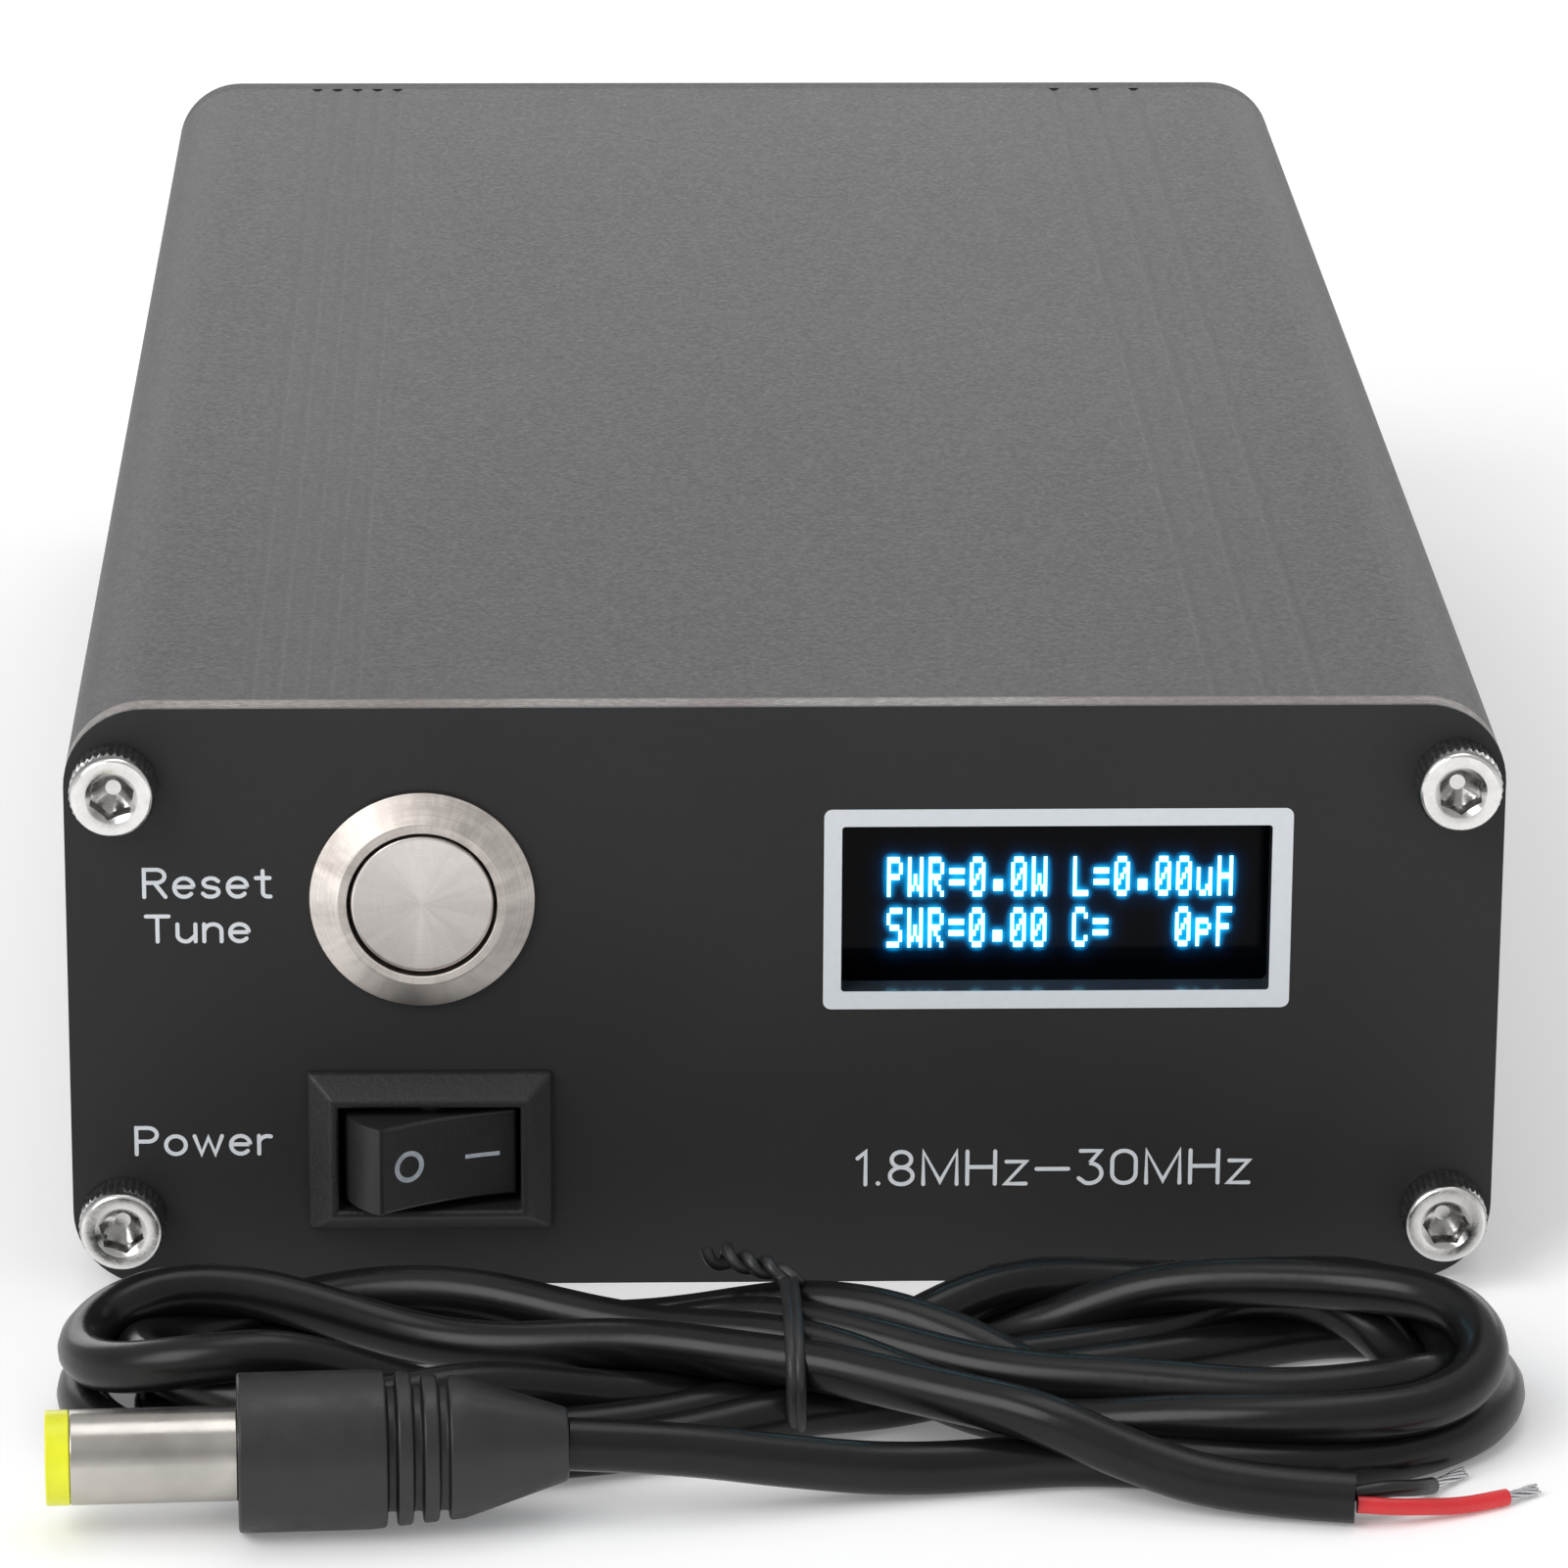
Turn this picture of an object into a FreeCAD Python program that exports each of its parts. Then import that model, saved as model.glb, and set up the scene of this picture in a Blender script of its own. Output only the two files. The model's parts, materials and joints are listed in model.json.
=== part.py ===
import FreeCAD, Part
import math
import os
import re
import Sketcher
from FreeCAD import Placement, Rotation, Vector

# Automatic antenna tuner in a split aluminium case, with its unplugged DC lead in front of it.
# Millimetres. The origin is the centre of the base, the front panel faces -Y and +Z is up.

DIMENSIONS = [
    ("case_width", 88.0, "outside width of the extruded case"),
    ("case_height", 37.6, "outside height, both shells together"),
    ("case_length", 160.0, "length of the extrusion"),
    ("corner_radius", 5.0, "outside radius of the long corners"),
    ("wall", 1.8, "wall of the extrusion"),
    ("lip", 0.9, "thickness of the seam's outer lip, half the wall"),
    ("tongue", 1.2, "height of the seam's tongue"),
    ("seam_gap", 0.1, "clearance above the tongue"),
    ("groove_pitch", 1.6, "pitch of the decorative grooves"),
    ("groove_start", 26.4, "first groove from the centre line"),
    ("groove_radius", 0.9, "radius of a groove's round bottom"),
    ("groove_depth", 0.12, "depth of a groove"),
    ("panel_thickness", 2.0, "thickness of the front and rear panels"),
    ("screw_x", 40.9, "case screws from the centre line"),
    ("screw_z", 4.7, "case screws from the nearer face"),
    ("port_radius", 2.9, "outside radius of a screw port"),
    ("thread_radius", 1.45, "M3 thread drawn as a plain cylinder"),
    ("thread_hole", 1.5, "radius of a tapped M3 hole"),
    ("clear_hole", 1.7, "radius of a clearance hole for M3"),
    ("head_radius", 2.65, "socket head radius"),
    ("head_height", 3.0, "socket head height"),
    ("hex_radius", 1.44, "corner radius of the 2.5 mm hexagon"),
    ("rib", 1.7, "reach of the board slot ribs"),
    ("rib_height", 1.0, "height of a board slot rib"),
    ("board_z", 9.4, "underside of the main board"),
    ("board_thickness", 1.6, "main board"),
    ("board_length", 118.0, "main board along the case"),
    ("board_y", 3.0, "centre of the main board"),
    ("window_x", 16.6, "centre of the display window"),
    ("window_z", 24.55, "centre of the display window"),
    ("window_width", 26.4, "display window"),
    ("window_height", 10.75, "display window"),
    ("display_x", 17.1, "centre of the display"),
    ("display_z", 23.6, "centre of the display"),
    ("display_depth", 4.0, "face of the display behind the panel's face"),
    ("button_x", -22.25, "push button axis"),
    ("button_z", 25.45, "push button axis"),
    ("button_rim", 6.9, "radius of the button's bezel"),
    ("button_flat", 5.15, "outer radius of the bezel's flat ring"),
    ("button_thread", 6.0, "radius of the button's threaded body"),
    ("button_bore", 4.6, "radius of the bore that the cap slides in"),
    ("button_cap", 4.4, "radius of the cap"),
    ("button_stem", 2.0, "radius of the cap's stem"),
    ("bezel_rise", 1.5, "front of the button's bezel above the panel"),
    ("rocker_x", -21.9, "centre of the rocker switch"),
    ("rocker_z", 9.05, "centre of the rocker switch"),
    ("rocker_width", 15.1, "rocker bezel"),
    ("rocker_height", 10.3, "rocker bezel"),
    ("rocker_rise", 2.0, "front of the rocker's bezel above the panel"),
    ("rocker_opening_width", 11.2, "opening of the rocker's bezel"),
    ("rocker_opening_height", 6.8, "opening of the rocker's bezel"),
    ("paddle_radius", 5.35, "radius of the paddle's ends about its hinge"),
    ("paddle_height", 5.6, "paddle across its hinge axis"),
    ("paddle_chord", 2.9, "paddle's tips in front of the hinge in mid position"),
    ("paddle_dish", 20.0, "radius of the paddle's hollow face"),
    ("paddle_tilt", 24.0, "tilt from mid position, degrees"),
    ("hinge_depth", 0.15, "rocker hinge behind the panel's face"),
    ("socket_x", 20.0, "UHF sockets from the centre line"),
    ("socket_z", 18.8, "UHF sockets above the base"),
    ("socket_thread", 7.94, "radius of the 5/8-24 thread"),
    ("socket_reach", 12.5, "threaded barrel beyond its flange"),
    ("flange", 25.4, "square flange of a UHF socket"),
    ("flange_thickness", 2.0, "flange of a UHF socket"),
    ("flange_pitch", 18.2, "hole spacing of the flange"),
    ("contact_bore", 2.0, "bore of the UHF centre contact"),
    ("jack_z", 10.0, "DC jack above the base"),
    ("jack_radius", 4.0, "threaded body of the DC jack"),
    ("cord_radius", 1.55, "outside radius of the DC lead"),
    ("core_radius", 0.5, "insulated core of the DC lead"),
    ("barrel_radius", 2.75, "DC plug barrel, 5.5 mm across"),
]

document = FreeCAD.newDocument("antenna_tuner")
sheet = document.addObject("Spreadsheet::Sheet", "Sizes")
for row, (alias, value, meaning) in enumerate(DIMENSIONS, start=1):
    sheet.set(f"A{row}", alias)
    sheet.set(f"B{row}", str(value))
    sheet.set(f"C{row}", meaning)
    sheet.setAlias(f"B{row}", alias)
document.recompute()

D = {alias: value for alias, value, meaning in DIMENSIONS}
UP = Rotation()
FRONT = Rotation(Vector(1, 0, 0), 90)
REAR = Rotation(Vector(1, 0, 0), -90)
RIGHT = Rotation(Vector(0, 1, 0), 90)
PANEL = "(case_length / 2 + panel_thickness)"
nodes = []


# ---- helpers -------------------------------------------------------------------------------------

def formula(text):
    """A formula in plain aliases, written as the expressions need it."""
    names = r"\b(" + "|".join(D) + r")\b"
    return re.sub(names, r"Sizes.\1", str(text))


def bind(thing, **formulas):
    """Bind properties to formulas of the sheet's sizes."""
    for name, text in formulas.items():
        thing.setExpression(name, formula(text))
    return thing


def place(thing, at, turn=UP):
    """Put a thing's own origin at a point given by three formulas."""
    thing.Placement = Placement(Vector(), turn)
    for axis, text in zip("xyz", at):
        thing.setExpression(f"Placement.Base.{axis}", formula(text))
    return thing


def box(size, centre_base):
    """A box by its three sizes, standing on the centre of its lower face."""
    length, width, height = size
    across, along, up = centre_base
    thing = bind(document.addObject("Part::Box", "Box"), Length=length, Width=width, Height=height)
    return place(thing, (f"{across} - ({length}) / 2", f"{along} - ({width}) / 2", up))


def cylinder(radius, height, at, turn=UP):
    thing = bind(document.addObject("Part::Cylinder", "Cylinder"), Radius=radius, Height=height)
    return place(thing, at, turn)


def cone(radius, end_radius, height, at, turn=UP):
    thing = document.addObject("Part::Cone", "Cone")
    return place(bind(thing, Radius1=radius, Radius2=end_radius, Height=height), at, turn)


def hexagon(corner_radius, height, at, turn=UP):
    thing = bind(document.addObject("Part::Prism", "Prism"), Circumradius=corner_radius, Height=height)
    return place(thing, at, turn)


def torus(radius, section, at, turn=UP):
    thing = bind(document.addObject("Part::Torus", "Torus"), Radius1=radius, Radius2=section)
    return place(thing, at, turn)


def frustum(base, top, height, at, turn):
    """A rectangular frustum that rises along its own +Y from a base centred on a point."""
    thing = document.addObject("Part::Wedge", "Wedge")
    bind(thing, Xmin=f"-({base[0]}) / 2", Xmax=f"({base[0]}) / 2", Zmin=f"-({base[1]}) / 2",
         Zmax=f"({base[1]}) / 2", X2min=f"-({top[0]}) / 2", X2max=f"({top[0]}) / 2",
         Z2min=f"-({top[1]}) / 2", Z2max=f"({top[1]}) / 2", Ymin="0", Ymax=height)
    return place(thing, at, turn)


def fuse(*things):
    thing = document.addObject("Part::MultiFuse", "Fuse")
    thing.Shapes = list(things)
    return thing


def cut(base, *tools):
    for tool in tools:
        thing = document.addObject("Part::Cut", "Cut")
        thing.Base = base
        thing.Tool = tool
        base = thing
    return base


def fillet(thing, radius, wanted):
    """Round the edges whose two ends satisfy a test."""
    document.recompute()
    rounded = document.addObject("Part::Fillet", "Fillet")
    rounded.Base = thing
    rounded.Edges = [(index, radius, radius) for index, edge in enumerate(thing.Shape.Edges, start=1)
                     if wanted(edge)]
    return rounded


def solid(shape):
    """A shape made with Part's own functions."""
    thing = document.addObject("Part::Feature", "Solid")
    thing.Shape = shape
    return thing


def node(label, *things):
    """Name a sub-part. Several separate solids become one group."""
    if len(things) == 1:
        thing = things[0]
    else:
        thing = document.addObject("Part::Compound", "Group")
        thing.Links = list(things)
    thing.Label = label
    nodes.append(thing)
    return thing


def along_axis(edge, axis):
    """True for a straight edge parallel to an axis."""
    if len(edge.Vertexes) != 2 or not isinstance(edge.Curve, Part.Line):
        return False
    way = edge.Vertexes[1].Point - edge.Vertexes[0].Point
    return abs(abs(way.dot(axis)) - way.Length) < 1e-6


# ---- sketched bodies -----------------------------------------------------------------------------

def new_sketch(body, role):
    sketch = body.newObject("Sketcher::SketchObject", "Sketch")
    plane = [item for item in body.Origin.OriginFeatures if item.Role == role][0]
    sketch.AttachmentSupport = [(plane, "")]
    sketch.MapMode = "FlatFace"
    return sketch


def pin_point(sketch, geometry, vertex, where):
    """Hold a vertex of the sketch at two formulas from the sketch's origin."""
    for kind, text in zip(("DistanceX", "DistanceY"), where):
        index = sketch.addConstraint(Sketcher.Constraint(kind, -1, 1, geometry, vertex, 1.0))
        sketch.setExpression(f"Constraints[{index}]", formula(text))


def outline(sketch, points):
    """A closed outline of straight lines through points given as pairs of formulas."""
    first = None
    count = len(points)
    guess = [Vector(math.cos(2 * math.pi * i / count), math.sin(2 * math.pi * i / count), 0)
             for i in range(count)]
    for i in range(count):
        line = sketch.addGeometry(Part.LineSegment(guess[i], guess[(i + 1) % count]))
        first = line if first is None else first
        pin_point(sketch, line, 1, points[i])
        if i:
            sketch.addConstraint(Sketcher.Constraint("Coincident", line - 1, 2, line, 1))
    sketch.addConstraint(Sketcher.Constraint("Coincident", first + count - 1, 2, first, 1))


def rectangle(sketch, centre, width, height):
    across, up = centre
    corners = [(-1, -1), (1, -1), (1, 1), (-1, 1)]
    outline(sketch, [(f"{across} + {sx} * ({width}) / 2", f"{up} + {sz} * ({height}) / 2")
                     for sx, sz in corners])


def circle(sketch, centre, radius):
    ring = sketch.addGeometry(Part.Circle(Vector(0, 0, 0), Vector(0, 0, 1), 1.0))
    pin_point(sketch, ring, 3, centre)
    index = sketch.addConstraint(Sketcher.Constraint("Radius", ring, 1.0))
    sketch.setExpression(f"Constraints[{index}]", formula(radius))


def pad(body, sketch, length, symmetric=False):
    feature = body.newObject("PartDesign::Pad", "Pad")
    feature.Profile = sketch
    bind(feature, Length=length)
    if symmetric:
        feature.SideType = "Symmetric"
    return feature


def pocket(body, sketch, length):
    """Cut through both ways from the sketch's plane, and check that it cut."""
    document.recompute()
    before = body.Shape.Volume
    feature = body.newObject("PartDesign::Pocket", "Pocket")
    feature.Profile = sketch
    bind(feature, Length=length)
    feature.SideType = "Symmetric"
    document.recompute()
    if body.Shape.Volume >= before - 1e-6:
        raise SystemExit(f"{body.Label}: a pocket cut nothing")
    return feature


def round_edges(body, radius, wanted):
    document.recompute()
    tip = body.Tip
    names = [f"Edge{i}" for i, edge in enumerate(tip.Shape.Edges, start=1) if wanted(edge)]
    feature = body.newObject("PartDesign::Fillet", "Fillet")
    feature.Base = (tip, names)
    bind(feature, Radius=radius)
    return feature


# ---- routed wires and cords ----------------------------------------------------------------------

def route(points):
    """Straight runs joined by tangent arcs, each arc as large as its two runs allow."""
    stops = [Vector(*point) for point in points]
    edges = []
    radii = []
    start = stops[0]
    for before, corner, after in zip(stops, stops[1:], stops[2:]):
        inward = (corner - before).normalize()
        outward = (after - corner).normalize()
        half_turn = inward.getAngle(outward) / 2
        shorter = min((corner - before).Length, (after - corner).Length)
        setback = 0.45 * shorter
        radius = setback / math.tan(half_turn)
        radii.append(radius)
        entry = corner - inward * setback
        leave = corner + outward * setback
        toward_middle = (outward - inward).normalize()
        middle = corner + toward_middle * (radius / math.cos(half_turn) - radius)
        edges.append(Part.LineSegment(start, entry).toShape())
        edges.append(Part.Arc(entry, middle, leave).toShape())
        start = leave
    edges.append(Part.LineSegment(start, stops[-1]).toShape())
    return Part.Wire(edges), radii


def tube(points, radius, name):
    """A round wire or cord along a route, with its volume checked against section times length."""
    path, radii = route(points)
    direction = Vector(*points[1]) - Vector(*points[0])
    section = Part.Wire([Part.Circle(Vector(*points[0]), direction, radius).toShape()])
    shape = path.makePipeShell([section], True, False)
    expected = math.pi * radius ** 2 * path.Length
    if radii:
        print(f"{name}: {path.Length:.1f} long, radii {min(radii):.1f} to {max(radii):.1f},"
              f" volume {shape.Volume:.1f} of {expected:.1f}")
    if abs(shape.Volume - expected) > 0.01 * expected:
        raise SystemExit(f"{name}: the tube's volume is wrong")
    return solid(shape)


# ---- case ----------------------------------------------------------------------------------------

def case_shell(label):
    """One half of the extrusion: both halves come from the same die."""
    body = document.addObject("PartDesign::Body", "Shell")
    outer = "case_width / 2"
    lip_face = "(case_width / 2 - lip)"
    inner = "(case_width / 2 - wall)"
    seam = "case_height / 2"
    profile = new_sketch(body, "XZ_Plane")
    outline(profile, [
        (f"-{outer}", "0"), (outer, "0"), (outer, seam), (lip_face, seam),
        (lip_face, f"{seam} - tongue - seam_gap"), (inner, f"{seam} - tongue - seam_gap"),
        (inner, "wall"), (f"-{inner}", "wall"), (f"-{inner}", f"{seam} + tongue"),
        (f"-{lip_face}", f"{seam} + tongue"), (f"-{lip_face}", seam), (f"-{outer}", seam)])
    pad(body, profile, "case_length", symmetric=True)
    half_width = D["case_width"] / 2
    side = half_width - D["wall"]
    seam_height = D["case_height"] / 2

    def long_edge_at(edge, x, z):
        point = edge.Vertexes[0].Point
        on_line = abs(abs(point.x) - x) < 1e-4 and abs(point.z - z) < 1e-4
        return on_line and along_axis(edge, Vector(0, 1, 0))

    round_edges(body, "corner_radius", lambda edge: long_edge_at(edge, half_width, 0))
    round_edges(body, "corner_radius - wall", lambda edge: long_edge_at(edge, side, D["wall"]))
    round_edges(body, "0.2", lambda edge: long_edge_at(edge, half_width, seam_height))
    ports = new_sketch(body, "XZ_Plane")
    ribs = new_sketch(body, "XZ_Plane")
    threads = new_sketch(body, "XZ_Plane")
    grooves = new_sketch(body, "XZ_Plane")
    for sign in ("-1", "1"):
        circle(ports, (f"{sign} * screw_x", "screw_z"), "port_radius")
        circle(threads, (f"{sign} * screw_x", "screw_z"), "thread_hole")
        rib_x = f"{sign} * ({inner} - rib / 2 + 0.1)"
        rectangle(ribs, (rib_x, "board_z - rib_height / 2"), "rib + 0.2", "rib_height")
        rib_top = "board_z + board_thickness + 0.1 + rib_height / 2"
        rectangle(ribs, (rib_x, rib_top), "rib + 0.2", "rib_height")
        for i in range(5):
            circle(grooves, (f"{sign} * (groove_start + {i} * groove_pitch)", "groove_depth - groove_radius"),
                   "groove_radius")
    pad(body, ports, "case_length", symmetric=True)
    pad(body, ribs, "case_length", symmetric=True)
    pocket(body, threads, "case_length + 2")
    pocket(body, grooves, "case_length + 2")
    return node(label, body)


case_shell("case_lower_shell")
upper_shell = case_shell("case_upper_shell")
place(upper_shell, ("0", "0", "case_height"), Rotation(Vector(0, 1, 0), 180))

SIDES = ("-1", "1")
SCREW_PLACES = [(f"{sx} * screw_x", f"case_height / 2 + {sz} * (case_height / 2 - screw_z)")
                for sx in SIDES for sz in SIDES]
SOCKETS = {"antenna": "socket_x", "radio": "-socket_x"}
FLANGE_CORNERS = [(f"{sx} * flange_pitch / 2", f"{sz} * flange_pitch / 2")
                  for sx in SIDES for sz in SIDES]


def end_panel(label, cutouts):
    """A flat plate with rounded corners, screw holes and its own cut-outs."""
    body = document.addObject("PartDesign::Body", "Panel")
    profile = new_sketch(body, "XZ_Plane")
    rectangle(profile, ("0", "case_height / 2"), "case_width", "case_height")
    for across, up in SCREW_PLACES:
        circle(profile, (across, up), "clear_hole")
    cutouts(profile)
    pad(body, profile, "panel_thickness")

    def corner(edge):
        outer = abs(edge.Vertexes[0].Point.x) > D["case_width"] / 2 - 0.01
        return along_axis(edge, Vector(0, 1, 0)) and outer

    def window_corner(edge):
        point = edge.Vertexes[0].Point
        inside = abs(point.x - D["window_x"]) < D["window_width"] / 2 + 0.01
        return along_axis(edge, Vector(0, 1, 0)) and inside and 1 < point.z < D["case_height"] - 1

    round_edges(body, "corner_radius", corner)
    if label == "front_panel":
        round_edges(body, "0.4", window_corner)
    return node(label, body)


def front_cutouts(profile):
    rectangle(profile, ("window_x", "window_z"), "window_width", "window_height")
    circle(profile, ("button_x", "button_z"), "button_thread + 0.1")
    rectangle(profile, ("rocker_x", "rocker_z"), "13.2", "8.5")


def rear_cutouts(profile):
    for across in SOCKETS.values():
        circle(profile, (across, "socket_z"), "8.0")
        for dx, dz in FLANGE_CORNERS:
            circle(profile, (f"{across} + {dx}", f"socket_z + {dz}"), "clear_hole")
    circle(profile, ("0", "jack_z"), "jack_radius + 0.1")


place(end_panel("front_panel", front_cutouts), ("0", "-case_length / 2", "0"))
place(end_panel("rear_panel", rear_cutouts), ("0", PANEL, "0"))


def socket_screw(across, up, face, outward, inward, sign):
    """An M3 socket-head screw: chamfered head, hexagon recess with a drilled bottom, plain shank."""
    def at(distance):
        return (across, f"{face} + {sign} * ({distance})", up)
    head = fuse(cylinder("head_radius", "head_height - 0.3", at("0"), outward),
                cone("head_radius", "head_radius - 0.3", "0.3", at("head_height - 0.3"), outward),
                cylinder("thread_radius", "8", at("0"), inward))
    recess = fuse(hexagon("hex_radius", "1.7", at("head_height - 1.6"), outward),
                  cone("1.2", "1.6", "0.35", at("head_height - 0.34"), outward),
                  cone("0.4", "1.2", "0.4", at("head_height - 1.99"), outward))
    return cut(head, recess)


node("front_panel_screws", *[socket_screw(x, z, f"-{PANEL}", FRONT, REAR, "-1") for x, z in SCREW_PLACES])
node("rear_panel_screws", *[socket_screw(x, z, PANEL, REAR, FRONT, "1") for x, z in SCREW_PLACES])

# ---- display -------------------------------------------------------------------------------------

FACE = f"-{PANEL}"
DISPLAY = f"({FACE} + display_depth)"
node("display_glass", box(("30", "1.4", "11.5"), ("display_x", f"{DISPLAY} + 0.7", "display_z - 5.75")))
DISPLAY_CORNERS = [(f"display_x + {sx} * 17.3", f"display_z + {sz} * 4.3") for sx in SIDES for sz in SIDES]
display_holes = [cylinder("1.0", "4", (x, f"{DISPLAY} + 0.5", z), REAR) for x, z in DISPLAY_CORNERS]
display_plate = box(("38", "1", "12"), ("display_x", f"{DISPLAY} + 1.9", "display_z - 6"))
node("display_board", cut(display_plate, *display_holes))
standoff_length = "display_depth + 1.4 - panel_thickness"
node("display_standoffs", *[
    cut(cylinder("1.5", standoff_length, (x, "-case_length / 2", z), REAR),
        cylinder("1.0", "8", (x, "-case_length / 2 - 1", z), REAR)) for x, z in DISPLAY_CORNERS])
node("display_screws", *[
    fuse(cylinder("1.7", "1.2", (x, f"{DISPLAY} + 2.4", z), REAR),
         cylinder("0.95", "4", (x, f"{DISPLAY} + 2.4", z), FRONT)) for x, z in DISPLAY_CORNERS])
node("display_header", box(("2.5", "2.5", "10.2"),
                           ("display_x + 4.9", f"{DISPLAY} + 3.65", "display_z - 5.1")))

# ---- push button ---------------------------------------------------------------------------------

RIM = "0.45"


def on_button(distance, across="0"):
    """A point on the button's axis, by its distance behind the panel's face."""
    return (f"button_x + {across}", f"{FACE} + {distance}", "button_z")


button_shape = fuse(cylinder("button_rim", RIM, on_button("0"), FRONT),
                    cone("button_rim", "button_flat", f"bezel_rise - {RIM}", on_button(f"(-{RIM})"), FRONT),
                    cylinder("button_thread", "16", on_button("0"), REAR))
seal_groove = cut(cylinder("6.7", "0.3", on_button("0"), FRONT),
                  cylinder("6.15", "1", on_button("0.5"), FRONT))
node("button_housing", cut(
    button_shape, cylinder("button_bore", "8", on_button("5"), FRONT),
    cylinder("button_stem + 0.05", "3", on_button("7"), FRONT),
    cylinder("4.8", "10", on_button("6.5"), REAR), seal_groove))
node("button_seal", cut(cylinder("6.65", "0.3", on_button("0"), FRONT),
                        cylinder("6.2", "1", on_button("0.5"), FRONT)))
node("button_cap", fuse(
    cylinder("button_cap", "bezel_rise + 0.5", on_button("0.8"), FRONT),
    cone("button_cap", "button_cap - 0.15", "0.15", on_button("(0.3 - bezel_rise)"), FRONT),
    cylinder("button_stem", "8.5", on_button("0.8"), REAR),
    cylinder("2.9", "1.2", on_button("6.7"), REAR)))
node("button_contact_bridge", cylinder("3.2", "0.4", on_button("9.3"), REAR))
spring_path = document.addObject("Part::Helix", "SpringPath")
bind(spring_path, Radius="3.2", Pitch="0.85", Height="3.4")
spring_wire = document.addObject("Part::Circle", "SpringWire")
bind(spring_wire, Radius="0.3")
place(spring_wire, ("3.2", "0", "0"), Rotation(Vector(1, 0, 0), 90))
spring = document.addObject("Part::Sweep", "Spring")
spring.Sections = [spring_wire]
spring.Spine = (spring_path, [])
spring.Solid = True
spring.Frenet = True
place(spring, on_button("4.65"), FRONT)
node("button_spring", spring)
node("button_nut", cut(hexagon("8.08", "2", on_button("panel_thickness"), REAR),
                       cylinder("button_thread + 0.05", "4", on_button("panel_thickness - 1"), REAR)))
BUTTON_PINS = ("-2.2", "2.2")
node("button_contact_block", cut(cylinder("4.75", "3", on_button("13"), REAR),
                                 *[cylinder("0.65", "5", on_button("12", x), REAR) for x in BUTTON_PINS]))
node("button_terminals", *[cylinder("0.6", "8.6", on_button("11.4", x), REAR) for x in BUTTON_PINS])

# ---- rocker switch -------------------------------------------------------------------------------

HINGE = f"({FACE} + hinge_depth)"


def rocker_box(size, distance, across="0", up="0"):
    """A box centred on the rocker's axis, by its front's distance behind the panel's face."""
    length, depth, height = size
    return box(size, (f"rocker_x + {across}", f"{FACE} + {distance} + {depth} / 2",
                      f"rocker_z + {up} - ({height}) / 2"))


TURN_ROUND = Rotation(Vector(0, 0, 1), 180)
rocker_shape = fuse(
    rocker_box(("rocker_width", RIM, "rocker_height"), f"(-{RIM})"),
    frustum(("rocker_width", "rocker_height"), ("12.2", "7.8"), f"rocker_rise - {RIM}",
            ("rocker_x", f"{FACE} - {RIM}", "rocker_z"), TURN_ROUND),
    rocker_box(("13", "13", "8.3"), "0"),
    rocker_box(("0.5", "3", "4"), "(panel_thickness + 0.05)", "(-6.7)"),
    rocker_box(("0.5", "3", "4"), "(panel_thickness + 0.05)", "6.7"))


def rocker_blades():
    """The common terminal in the middle and the switched one beside it."""
    return [rocker_box(("0.8", "12.7", "2.8"), "7.8"),
            rocker_box(("0.8", "11.7", "2.8"), "8.8", "(-4.2)")]


node("rocker_housing", cut(
    rocker_shape, rocker_box(("rocker_opening_width", "13.5", "rocker_opening_height"), "(-2.5)"),
    cylinder("0.95", "8.2", ("rocker_x", HINGE, "rocker_z - 4.1")), *rocker_blades()))
node("rocker_terminals", *rocker_blades())
dish_centre = "(-paddle_chord - sqrt(paddle_dish ^ 2 - paddle_radius ^ 2 + paddle_chord ^ 2))"
paddle_face = cut(
    cylinder("paddle_radius", "paddle_height", ("0", "0", "-paddle_height / 2")),
    cylinder("paddle_dish", "paddle_height + 2", ("0", dish_centre, "-paddle_height / 2 - 1")),
    box(("12", "6", "8"), ("0", "5.3", "-4")))
paddle_front = fillet(paddle_face, 0.2, lambda edge: max(v.Point.y for v in edge.Vertexes) < -2)
paddle = cut(fuse(paddle_front,
                  cylinder("0.9", "8", ("0", "0", "-4")),
                  cylinder("1.3", "3.4", ("0", "2.2", "0"), REAR)),
             cylinder("0.85", "3", ("0", "3", "0"), REAR))
plunger = fuse(cylinder("0.8", "3.2", ("0", "3.2", "0"), REAR),
               cone("0.8", "0.4", "0.5", ("0", "6.4", "0"), REAR))
blade = fuse(box(("8", "0.35", "2.4"), ("0", "0", "-1.2")),
             cylinder("0.3", "2.4", ("0", "0.1", "-1.2")))
place(node("rocker_paddle", paddle), ("rocker_x", HINGE, "rocker_z"), Rotation(Vector(0, 0, 1), 24))
place(node("rocker_plunger", plunger), ("rocker_x", HINGE, "rocker_z"), Rotation(Vector(0, 0, 1), 24))
place(node("rocker_contact_blade", blade), ("rocker_x", f"{FACE} + 7.4", "rocker_z"),
      Rotation(Vector(0, 0, 1), -12))

# ---- main board and its parts --------------------------------------------------------------------

TOP = "(board_z + board_thickness)"
node("main_board", box(("case_width - 2 * wall - 0.5", "board_length", "board_thickness"),
                       ("0", "board_y", "board_z")))


def on_board(size, across, along, lift="0"):
    return box(size, (across, along, f"{TOP} + {lift}"))


RELAY = ("7.5", "12.5", "10")
ROWS = range(7)
relay_rows = [on_board(RELAY, x, f"(-46 + {i} * 15)") for x in ("-33", "33") for i in ROWS]
node("relays", *relay_rows, on_board(RELAY, "9", "54"))
node("tuning_capacitors", *[on_board(("4", "8.5", "8"), "22", f"(-40 + {i} * 13)") for i in ROWS])

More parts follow.
